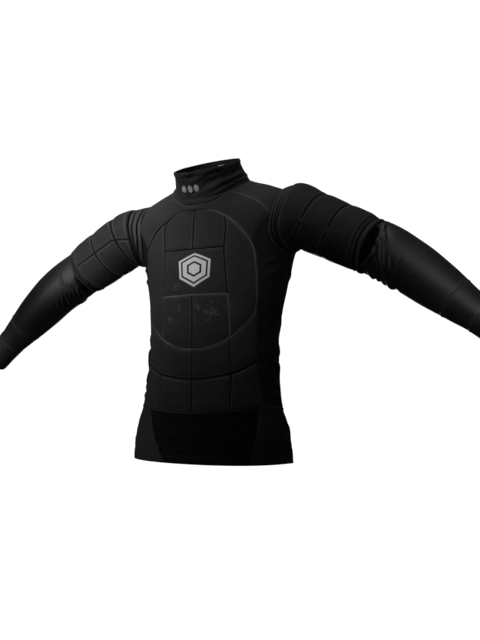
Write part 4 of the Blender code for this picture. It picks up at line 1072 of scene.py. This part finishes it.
# The lines that show as light cord: the egg below its top, and the columns and bar of the square under its middle
egg_cord = EGG[2:] + [(-t, l) for t, l in EGG_FOOT[::-1][1:]]
below_bar = curve([point for point in COLUMN if 0.279 < point[1] < 0.376], QUILT_STEP)
raised = [curve(egg_cord, QUILT_STEP), below_bar, mirrored(below_bar), curve(BAR_FOOT, QUILT_STEP)]
keep(seam_cover("quilting_cord", [(*on_quilting(line, 0.0012), False) for line in raised], 0.0034, 0.0010))
keep(stitches("hem_thread", [(*on_body(level_line(-180, 177, level, 0.006), PLAIN + 0.0001), True, 0.0)
                             for level in HEM_STITCH]))

SEAM_HEIGHT = PLAIN + 0.0005
body_runs = [(*on_body(line, SEAM_HEIGHT), False) for line in (
    shoulder_left, shoulder_right, side_left, side_right, joined(foot_left, foot_middle, foot_right),
    gusset_top, mirrored(gusset_top), back_seam_left, behind(back_seam_left), back_foot_left,
    behind(back_foot_left))]
body_runs.append((*on_body(level_line(-180, 177, TOP - 0.0016), SEAM_HEIGHT), True))
keep(seam_cover("body_seams", body_runs))
keep(seam_cover("hem_seams", [(*on_body(line, PLAIN + 0.0003), False) for line in (hem_seam_left, hem_seam_right)],
                0.0026, 0.0006))

for side, word in ((1, "left"), (-1, "right")):
    runs, covers = [], []
    shares = np.linspace(0.5, 1.0, 60)
    cap, places = over_rows(side, shares, np.linspace(CAP_END, 0.16, 60)[1:])
    along, outward = along_arm(side, cap), grid_normals(cap)
    for seam in seam_places(side):
        nearest = np.abs(along - seam).argmin(0)
        part = np.arange(len(ROUND))
        runs.append((cap[nearest, part] + outward[nearest, part] * (QUILT_FLOOR + 0.0002),
                     outward[nearest, part], True, 0.0))
    if side == -1:
        alongs = np.linspace(CAP_END, OVER_SEAMS[side]["pad_end"] - 0.004, 30)
        line = np.array([arm_ring(side, s, over_radius(s) + QUILT_FLOOR + 0.0014, np.array([LONG_SEAM]))[0]
                         for s in alongs])
        centres = np.array([arm_axis(side, s)[0] for s in alongs])
        runs.append((line, unit(line - centres), False, 0.0))
    for place, radius in SLEEVE_SEAMS:
        ring = arm_ring(side, place, radius + 0.0002)
        covers.append((ring, unit(ring - arm_axis(side, place)[0]), True))
    place = OVER_SEAMS[side]["pad_end"]
    ring = arm_ring(side, place, over_radius(place) + PAD_EDGE - 0.0002)
    covers.append((ring, unit(ring - arm_axis(side, place)[0]), True))
    for place in CUFF_STITCH:
        ring = arm_ring(side, place, CUFF_RADIUS)
        runs.append((ring, unit(ring - arm_axis(side, place)[0]), True, 0.0))
    keep(stitches(f"sleeve_thread_{word}", runs))
    keep(seam_cover(f"sleeve_seams_{word}", covers))


# --- finishes ---

def grey(value, tint=0.0):
    """A colour from a screen grey between 0 and 1, with a little more or less blue."""
    shades = [v / 12.92 if v <= 0.04045 else ((v + 0.055) / 1.055) ** 2.4 for v in (value, value, value + tint)]
    return (*shades, 1.0)


def join(tree, value, socket):
    """Wire another node's output to a socket, or set the socket to a plain value."""
    if isinstance(value, Wire):
        tree.links.new(value.socket, socket)
    else:
        socket.default_value = value


class Wire:
    """A node's output, on which sums are written as on a number."""

    def __init__(self, tree, socket):
        self.tree, self.socket = tree, socket

    def sum(self, operation, *values, clamp=False):
        inputs = {f"i{i}": v for i, v in enumerate(values)}
        return add(self.tree, "Math", {"operation": operation, "use_clamp": clamp}, **inputs)[0]

    def __add__(self, other):
        return self.sum("ADD", self, other)

    def __sub__(self, other):
        return self.sum("SUBTRACT", self, other)

    def __rsub__(self, other):
        return self.sum("SUBTRACT", other, self)

    def __mul__(self, other):
        return self.sum("MULTIPLY", self, other)

    def __truediv__(self, other):
        return self.sum("DIVIDE", self, other)

    def __abs__(self):
        return self.sum("ABSOLUTE", self)

    def sine(self):
        return self.sum("SINE", self)

    def highest(self, other):
        return self.sum("MAXIMUM", self, other)

    def ramp(self, low, high, to_low=0.0, to_high=1.0):
        """The value eased from one range to another."""
        return add(self.tree, "MapRange", {"interpolation_type": "SMOOTHSTEP"}, Value=self, From_Min=low,
                   From_Max=high, To_Min=to_low, To_Max=to_high)["Result"]


class Wires:
    """The outputs of a node, by name or number."""

    def __init__(self, tree, sockets):
        self.tree, self.sockets = tree, sockets

    def __getitem__(self, key):
        return Wire(self.tree, self.sockets[key])


def add(tree, kind, settings=None, **inputs):
    """A node with its settings. Inputs go by name, with _ for a space, or by number after an i."""
    made = tree.nodes.new("ShaderNode" + kind)
    for name, value in (settings or {}).items():
        setattr(made, name, value)
    for name, value in inputs.items():
        join(tree, value, made.inputs[int(name[1:]) if name[1:].isdigit() else name.replace("_", " ")])
    return Wires(tree, made.outputs)


def noise(tree, place, scale, detail, roughness=0.5, distortion=0.0):
    return add(tree, "TexNoise", Vector=place, Scale=scale, Detail=detail, Roughness=roughness,
               Distortion=distortion)[0]


def split(tree, vector):
    parts = add(tree, "SeparateXYZ", Vector=vector)
    return parts[0], parts[1]


def group(name, recipe, outputs, **inputs):
    """A node group with named inputs and outputs; its recipe makes the outputs from the inputs."""
    tree = bpy.data.node_groups.new(name, "ShaderNodeTree")
    for label, value in inputs.items():
        kind = "Vector" if value is None else "Float"
        socket = tree.interface.new_socket(label.replace("_", " "), in_out="INPUT", socket_type="NodeSocket" + kind)
        if value is not None:
            socket.default_value = value
    for label in outputs:
        tree.interface.new_socket(label, in_out="OUTPUT", socket_type="NodeSocketFloat")
    given, out = tree.nodes.new("NodeGroupInput").outputs, tree.nodes.new("NodeGroupOutput").inputs
    for value, socket in zip(recipe(tree, *(Wire(tree, given[i]) for i in range(len(inputs)))), out):
        join(tree, value, socket)
    return tree


def knit(tree, pattern, pitch):
    """Fine knit: columns of small loops, uneven from loop to loop."""
    x, y = split(tree, pattern)
    column = x / pitch
    lean = column.sum("PINGPONG", column, 0.5) * 1.4
    ribs = abs((column * math.pi).sine())
    loops = abs(((y / (pitch * 0.8) + lean) * math.pi).sine())
    fuzz = noise(tree, pattern, 900.0, 2.0, 0.6)
    return ribs * 0.4 + loops * 0.4 + fuzz * 0.35, fuzz


def nap(tree, place, blotch_scale, lint_amount):
    """Wear of dark cloth: broad tone changes, rubbed blotches and pale lint."""
    blotch = noise(tree, place, blotch_scale, 4.0, 0.6)
    tone = noise(tree, place, 9.0, 3.0, 0.55) * 0.45 + blotch * 0.35 + noise(tree, place, 700.0, 2.0, 0.7) * 0.20
    speck = add(tree, "TexVoronoi", {"feature": "F1"}, Vector=place, Scale=150.0)["Distance"]
    return tone.ramp(0.32, 0.68), speck.ramp(0.10, 0.05) * lint_amount * blotch.ramp(0.52, 0.64)


def net(tree, pattern, pitch):
    """Stretch mesh: a diamond net with small holes."""
    x, y = split(tree, pattern)
    cord = ((x + y) / pitch * math.pi).sine() * ((x - y) / pitch * math.pi).sine()
    holes = abs(cord).ramp(0.45, 0.85)
    return 1.0 - holes, holes


def ribs(tree, pattern, pitch):
    """Ribbed mesh: level ribs with a row of small holes between them, and a few open spots."""
    x, y = split(tree, pattern)
    level = y + noise(tree, pattern, 40.0, 2.0) * 0.0012
    rib = (level / pitch * (2 * math.pi)).sine().ramp(-0.7, 0.5)
    gap = (1.0 - rib) * (x / pitch * (2.8 * math.pi)).sine().ramp(-0.2, 0.6)
    wide = add(tree, "Mapping", Vector=pattern, Scale=(0.7, 1.0, 1.0))[0]
    spots = noise(tree, wide, 150.0, 1.0, 0.4).ramp(0.47, 0.58) * 0.9
    return rib - gap * 0.5, (gap * 0.6).highest(spots)


def seam_shade_and_highlight(tree, away):
    """Masks beside stitching and in valleys: the groove, darker as the seam's own dark and painted shade, and the
    ridge next to it, paler as rubbed wear and painted highlight.
    """
    return away.ramp(0.0024, 0.0007), away.ramp(0.0080, 0.0045) * away.ramp(0.0026, 0.0042)


def flat_print(tree, pattern, middle, size, stretch):
    """Flat printed mark: a hexagon ring round a filled hexagon."""
    x, y = split(tree, add(tree, "VectorMath", {"operation": "SUBTRACT"}, i0=pattern, i1=middle)[0])
    x, y = abs(x), abs(y / stretch)
    reach = x.highest(x * 0.5 + y * 0.866) / size
    ring = reach.ramp(1.0, 0.985) * reach.ramp(0.845, 0.86)
    inner = reach.ramp(0.745, 0.73) * reach.ramp(0.455, 0.47)
    return (reach.sum("ADD", ring + inner, reach.ramp(0.345, 0.33), clamp=True),)


def dust(tree, pattern, middle, reach):
    """Dust rubbed into the nap: uneven pale smears that fade out away from one place."""
    away = add(tree, "VectorMath", {"operation": "DISTANCE"}, i0=pattern, i1=middle)["Value"]
    return ((away / reach).ramp(1.0, 0.35) * noise(tree, pattern, 62.0, 4.0, 0.62, 0.6).ramp(0.50, 0.70),)


def seam_thread(tree, pattern, pitch):
    """Strands that lean across a seam, in steps along it."""
    x, y = split(tree, pattern)
    return (((x + abs(y) * 0.8) / pitch * (2 * math.pi)).sine().ramp(-0.5, 0.6),)


KNIT = group("knit", knit, ("Height", "Fuzz"), Pattern=None, Pitch=0.0012)
NAP = group("nap", nap, ("Tone", "Lint"), Place=None, Blotch=60.0, Lint=0.5)
NET = group("net", net, ("Height", "Holes"), Pattern=None, Pitch=0.003)
RIBS = group("ribs", ribs, ("Height", "Gap"), Pattern=None, Pitch=0.0046)
SEAM_SHADE_AND_HIGHLIGHT = group("seam shade and highlight", seam_shade_and_highlight, ("Groove", "Ridge"), From_Seam=0.03)
PRINT = group("flat print", flat_print, ("Print",), Pattern=None, Middle=None, Size=0.04, Stretch=1.0)
DUST = group("dust", dust, ("Dust",), Pattern=None, Middle=None, Reach=0.05)
THREAD = group("seam thread", seam_thread, ("Strand",), Pattern=None, Pitch=0.0022)


def place_group(tree, made, **inputs):
    return add(tree, "Group", {"node_tree": made}, **inputs)


def mixed(tree, mask, first, second):
    return add(tree, "Mix", {"data_type": "RGBA"}, i0=mask, i6=first, i7=second)[2]


class Finish:
    """A new material with its shader, its place and pattern coordinates, and its distance from a seam, which also
    marks where shade and highlight are painted.
    """

    def __init__(self, name, **values):
        self.material = bpy.data.materials.new(name)
        self.material.use_nodes = True
        self.tree = self.material.node_tree
        self.shader = self.tree.nodes["Principled BSDF"].inputs
        self.feed(**values)
        self.place = add(self.tree, "TexCoord")["Object"]
        self.pattern = add(self.tree, "UVMap", {"uv_map": "pattern"})["UV"]
        self.seam = add(self.tree, "Attribute", {"attribute_type": "GEOMETRY", "attribute_name": "from_seam"})["Fac"]

    def feed(self, **values):
        for name, value in values.items():
            join(self.tree, value, self.shader[name.replace("_", " ")])

    def done(self, height, depth, **values):
        """The finished material, with a fine relief of some depth."""
        self.feed(Normal=add(self.tree, "Bump", Height=height, Distance=depth)["Normal"], **values)
        return self.material


def cloth(name, dark, light, groove, ridge, roughness, specular, sheen, pitch, depth, rough_low, rough_high,
          lint, prints=(), dusty=(), coat=0.0):
    """Knitted cloth between two greys, darker in its grooves by the seam's own dark and painted shade, and paler
    beside them by rubbed wear and painted highlight.
    """
    made = Finish(name, Specular_IOR_Level=specular, Sheen_Weight=sheen, Sheen_Roughness=0.4)
    tree = made.tree
    wear_and_painted_light = place_group(tree, NAP, Place=made.place, Blotch=60.0, Lint=lint)
    shade_and_highlight = place_group(tree, SEAM_SHADE_AND_HIGHLIGHT, From_Seam=made.seam)
    loops = place_group(tree, KNIT, Pattern=made.pattern, Pitch=pitch)
    colour = mixed(tree, wear_and_painted_light["Tone"], grey(dark), grey(light))
    colour = mixed(tree, shade_and_highlight["Ridge"] * 0.55, colour, grey(ridge))
    colour = mixed(tree, shade_and_highlight["Groove"], colour, grey(groove))
    colour = mixed(tree, wear_and_painted_light["Lint"], colour, grey(0.34))
    for middle, reach, amount in dusty:
        smear = place_group(tree, DUST, Pattern=made.pattern, Middle=middle, Reach=reach)["Dust"]
        colour = mixed(tree, smear * amount, colour, grey(0.26))
    for middle, size, stretch, shade in prints:
        mark = place_group(tree, PRINT, Pattern=made.pattern, Middle=middle, Size=size, Stretch=stretch)["Print"]
        colour = mixed(tree, mark * loops["Fuzz"].ramp(0.12, 0.32, 0.8, 1.0), colour, grey(shade))
    if coat:
        made.feed(Coat_Roughness=0.60, Coat_Weight=(1.0 - shade_and_highlight["Groove"]) * coat)
    rough = loops["Fuzz"].ramp(0.2, 0.8, rough_low, rough_high).highest(shade_and_highlight["Groove"])
    return made.done(loops["Height"], depth, Base_Color=colour, Roughness=rough)


def mesh_cloth(name, solid, hole, kind, pitch, depth, roughness, specular):
    """Mesh cloth: a raised net or ribs over a darker ground."""
    made = Finish(name, Specular_IOR_Level=specular)
    wear_and_painted_light = place_group(made.tree, NAP, Place=made.place, Blotch=70.0, Lint=0.1)
    shape = place_group(made.tree, kind, Pattern=made.pattern, Pitch=pitch)
    colour = mixed(made.tree, wear_and_painted_light["Tone"], grey(solid), grey(solid * 1.35))
    return made.done(shape["Height"], depth, Base_Color=mixed(made.tree, shape[1], colour, grey(hole)),
                     Roughness=wear_and_painted_light["Tone"].ramp(0.0, 1.0, roughness - 0.06, roughness + 0.06))


def thread_finish(name, dark, light):
    made = Finish(name, Specular_IOR_Level=0.3)
    strand = place_group(made.tree, THREAD, Pattern=made.pattern, Pitch=0.0024)["Strand"]
    tone = noise(made.tree, made.place, 400.0, 2.0)
    shade = strand * tone.ramp(0.3, 0.7, 0.7, 1.0)
    return made.done(strand, 0.0004, Base_Color=mixed(made.tree, shade, grey(dark), grey(light)),
                     Roughness=tone.ramp(0.2, 0.8, 0.5, 0.65))


def stitch_finish(name, dark, light):
    made = Finish(name, Specular_IOR_Level=0.3)
    ply = noise(made.tree, made.place, 1500.0, 2.0)
    return made.done(ply, 0.0001, Base_Color=mixed(made.tree, ply, grey(dark), grey(light)),
                     Roughness=ply.ramp(0.2, 0.8, 0.45, 0.62))


def label_finish():
    made = Finish("label_cloth", Specular_IOR_Level=0.3)
    loops = place_group(made.tree, KNIT, Pattern=made.pattern, Pitch=0.0007)
    tone = place_group(made.tree, NAP, Place=made.place, Blotch=120.0, Lint=0.0)["Tone"]
    return made.done(loops["Height"], 0.0002,
                     Base_Color=mixed(made.tree, tone, grey(0.68, -0.02), grey(0.80, -0.02)),
                     Roughness=loops["Fuzz"].ramp(0.2, 0.8, 0.55, 0.75))


# Flat marks as middle on the pattern, size, stretch and grey; dusty places as middle, reach and amount
CHEST_MARK = ((0.006, 0.4360, 0.0), 0.0345, 1.12, 0.66)
COLLAR_MARKS = [((x, 0.0530, 0.0), 0.0062, 1.0, 0.60) for x in (0.4422, 0.4599, 0.0064)]
DUSTY = [((-0.046, 0.337, 0.0), 0.034, 0.75), ((0.030, 0.343, 0.0), 0.040, 0.8), ((0.058, 0.322, 0.0), 0.022, 0.7),
         ((0.095, 0.345, 0.0), 0.030, 0.4), ((-0.040, 0.390, 0.0), 0.030, 0.4)]

# Cloth finishes: dark and light grey, groove grey (seam dark and painted shade) and ridge grey (rubbed wear and
# painted highlight), roughness, specular, sheen, pitch and depth of the knit, lowest and highest roughness, lint
CLOTHS = {
    "padded": (0.105, 0.140, 0.006, 0.215, 0.85, 0.10, 0.02, 0.0011, 0.00022, 0.78, 0.92, 0.30),
    "padded_sleeve": (0.095, 0.130, 0.006, 0.200, 0.85, 0.10, 0.02, 0.0011, 0.00022, 0.74, 0.90, 0.20),
    "back": (0.105, 0.135, 0.035, 0.150, 0.82, 0.12, 0.02, 0.0011, 0.00020, 0.70, 0.86, 0.2),
    "gusset": (0.065, 0.090, 0.030, 0.100, 0.72, 0.14, 0.01, 0.0010, 0.00018, 0.60, 0.76, 0.15),
    "collar": (0.095, 0.125, 0.030, 0.140, 0.70, 0.14, 0.03, 0.0009, 0.00018, 0.62, 0.80, 0.2),
    "strip": (0.080, 0.110, 0.003, 0.190, 0.70, 0.14, 0.02, 0.0010, 0.00018, 0.58, 0.74, 0.1),
    "sleeve": (0.045, 0.060, 0.004, 0.150, 0.60, 0.06, 0.0, 0.0008, 0.00004, 0.50, 0.62, 0.0),
    "cuff": (0.045, 0.060, 0.010, 0.075, 0.60, 0.06, 0.0, 0.0009, 0.00006, 0.52, 0.64, 0.0),
}
EXTRAS = {"padded": {"prints": [CHEST_MARK], "dusty": DUSTY}, "collar": {"prints": COLLAR_MARKS},
          "sleeve": {"coat": 0.42}, "cuff": {"coat": 0.50}}
finish = {kind: cloth(f"{kind}_cloth", *values, **EXTRAS.get(kind, {})) for kind, values in CLOTHS.items()}
finish["side_mesh"] = mesh_cloth("side_mesh", 0.040, 0.010, NET, 0.0030, 0.00030, 0.62, 0.12)
finish["hem_mesh"] = mesh_cloth("hem_mesh", 0.042, 0.003, RIBS, 0.0046, 0.00022, 0.74, 0.05)
finish["seam"] = thread_finish("seam_thread", 0.050, 0.160)
finish["cord"] = thread_finish("cord_thread", 0.220, 0.360)
finish["dark_seam"] = thread_finish("dark_seam_thread", 0.030, 0.090)
finish["stitch"] = stitch_finish("stitch_thread", 0.10, 0.19)
finish["dark_stitch"] = stitch_finish("dark_stitch_thread", 0.012, 0.035)
finish["label"] = label_finish()


# --- dress the part ---

# Finish and slot of each piece
DRESS = {
    "front_panel": ("padded", "padded_cloth"),
    "front_hem_panel": ("hem_mesh", "hem_mesh"),
    "back_panel": ("back", "back_cloth"),
    "side_panel": ("side_mesh", "side_mesh"),
    "lower_side": ("gusset", "gusset_cloth"),
    "collar": ("collar", "collar_cloth"),
    "neck_label": ("label", "label_cloth"),
    "armhole_strip": ("strip", "strip_cloth"),
    "over_sleeve": ("padded_sleeve", "padded_cloth"),
    "sleeve_band": ("padded_sleeve", "padded_cloth"),
    "under_sleeve": ("sleeve", "sleeve_cloth"),
    "wrist_sleeve": ("sleeve", "sleeve_cloth"),
    "cuff": ("cuff", "cuff_cloth"),
    "quilting_thread": ("dark_stitch", "padded_cloth"),
    "quilting_cord": ("cord", "padded_cloth"),
    "hem_thread": ("stitch", "gusset_cloth"),
    "body_seams": ("seam", "strip_cloth"),
    "hem_seams": ("dark_seam", "gusset_cloth"),
    "sleeve_thread": ("dark_stitch", "padded_cloth"),
    "sleeve_seams": ("seam", "sleeve_cloth"),
}
PADDED = ("front_panel", "over_sleeve", "sleeve_band")
THREADS = ("quilting_thread", "quilting_cord", "hem_thread", "body_seams", "hem_seams", "sleeve_thread",
           "sleeve_seams")
# Greatest width and length in metres of each plain piece laid flat, as worn and with its folds, a tube opened
# out along one seam. Widths are measured along the rows of the finished meshes, and lengths along their columns
# or, on the body panels, from the pattern at its mean true scale.
CUT = {
    "front_hem_panel": (0.267, 0.130),
    "back_panel": (0.594, 0.691),
    "side_panel": (0.147, 0.450),
    "lower_side_left": (0.166, 0.128),
    "lower_side_right": (0.247, 0.128),
    "armhole_strip": (0.461, 0.047),
    "under_sleeve": (0.426, 0.447),
    "wrist_sleeve": (0.280, 0.063),
    "cuff": (0.228, 0.078),
    "collar": (0.592, 0.083),
    "neck_label": (0.017, 0.024),
}


def one_side_area(piece):
    return sum(face.area for face in piece.data.polygons) / 2


for name, piece in pieces.items():
    kind = name.removesuffix("_left").removesuffix("_right")
    look, slot_name = DRESS[kind]
    piece.data.materials.append(finish[look])
    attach(piece, "root")
    if kind in THREADS:
        continue
    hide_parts(name)
    if kind in PADDED:
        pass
    else:
        width, length = CUT.get(kind) or CUT[name]
        min(one_side_area(piece), width * length)


# --- stage, light and camera ---

def shown(tree, lit, seen, output):
    """Lights the scene by one shader and shows the camera another."""
    camera_ray = add(tree, "LightPath")["Is Camera Ray"]
    add(tree, output, Surface=add(tree, "MixShader", i0=camera_ray, i1=lit, i2=seen)[0])


def plain_floor():
    bpy.ops.object.select_all(action="DESELECT")
    bpy.ops.mesh.primitive_plane_add(size=60, location=(0, 0, -2.2))
    floor = bpy.context.active_object
    floor.name = "floor"
    made = bpy.data.materials.new("pale_floor")
    made.use_nodes = True
    tree = made.node_tree
    tree.nodes.clear()
    cloud = noise(tree, add(tree, "TexCoord")["Object"], 0.4, 2.0)
    matt = add(tree, "BsdfDiffuse", Color=mixed(tree, cloud, grey(0.66), grey(0.70)))[0]
    shown(tree, matt, add(tree, "Emission", Color=(1, 1, 1, 1), Strength=1.05)[0], "OutputMaterial")
    floor.data.materials.append(made)


def pale_room():
    world = bpy.data.worlds.new("pale_room")
    bpy.context.scene.world = world
    world.use_nodes = True
    tree = world.node_tree
    tree.nodes.clear()
    fill, wall = (add(tree, "Background", Color=(1, 1, 1, 1), Strength=power)[0] for power in (0.07, 1.05))
    shown(tree, fill, wall, "OutputWorld")


def soft_light(name, place, aim, size, power, spread):
    data = bpy.data.lights.new(name, "AREA")
    data.spread = math.radians(spread)
    data.shape = "RECTANGLE"
    data.size, data.size_y = size
    data.energy = power
    made = bpy.data.objects.new(name, data)
    bpy.context.scene.collection.objects.link(made)
    made.location = place
    made.rotation_euler = (Vector(aim) - Vector(place)).to_track_quat("-Z", "Y").to_euler()


VIEW = {"yaw": 28.451, "elevation": -7.027, "roll": 1.225, "distance": 1.8424, "across": 0.061475,
        "height": -0.308589, "focal": 783.67}


def picture_camera():
    a, e, r = (math.radians(VIEW[key]) for key in ("yaw", "elevation", "roll"))
    back = Vector((math.sin(a) * math.cos(e), -math.cos(a) * math.cos(e), math.sin(e)))
    right = (-back).cross(Vector((0, 0, 1))).normalized()
    up = right.cross(-back)
    target = right * VIEW["across"] + Vector((0, 0, VIEW["height"]))
    data = bpy.data.cameras.new("picture_camera")
    data.sensor_width = 36
    data.lens = VIEW["focal"] * 36 / 640
    made = bpy.data.objects.new("picture_camera", data)
    bpy.context.scene.collection.objects.link(made)
    turned = Matrix((math.cos(r) * right + math.sin(r) * up, math.cos(r) * up - math.sin(r) * right, back))
    made.matrix_world = Matrix.Translation(target + back * VIEW["distance"]) @ turned.transposed().to_4x4()
    bpy.context.scene.camera = made


plain_floor()
pale_room()
soft_light("key", (-0.50, -2.00, 0.90), (-0.145, -0.10, -0.10), (0.3, 0.3), 0.84, 16.4)
soft_light("shoulder", (-0.90, -1.70, 1.00), (-0.28, -0.05, -0.07), (0.25, 0.25), 0.12, 13)
soft_light("top", (-0.35, -0.3, 1.9), (0.0, 0.0, -0.1), (1.4, 0.9), 6.0, 90)
soft_light("near_shoulder", (0.7, -1.6, 1.2), (0.33, -0.05, -0.13), (0.3, 0.3), 0.09, 18)
soft_light("near_sleeve", (1.0, -1.8, 0.6), (0.65, 0.0, -0.36), (0.25, 0.25), 0.32, 17)
soft_light("far_sleeve", (-0.9, -2.1, -0.2), (-0.66, 0.0, -0.44), (0.3, 0.3), 0.32, 9)
soft_light("far_low", (-1.1, -1.7, -0.6), (-0.33, -0.05, -0.17), (0.15, 0.15), 0.14, 9)
soft_light("low_left", (-1.3, -1.3, -0.4), (-0.18, 0.0, -0.62), (0.3, 0.3), 0.14, 17)
soft_light("side", (1.6, -0.9, -0.1), (0.20, 0.0, -0.12), (0.3, 0.3), 0.06, 14)
soft_light("back", (-1.15, 2.15, 0.1), (0.0, 0.0, -0.22), (0.6, 0.6), 12, 50)
picture_camera()
bpy.context.scene.view_settings.view_transform = "Standard"
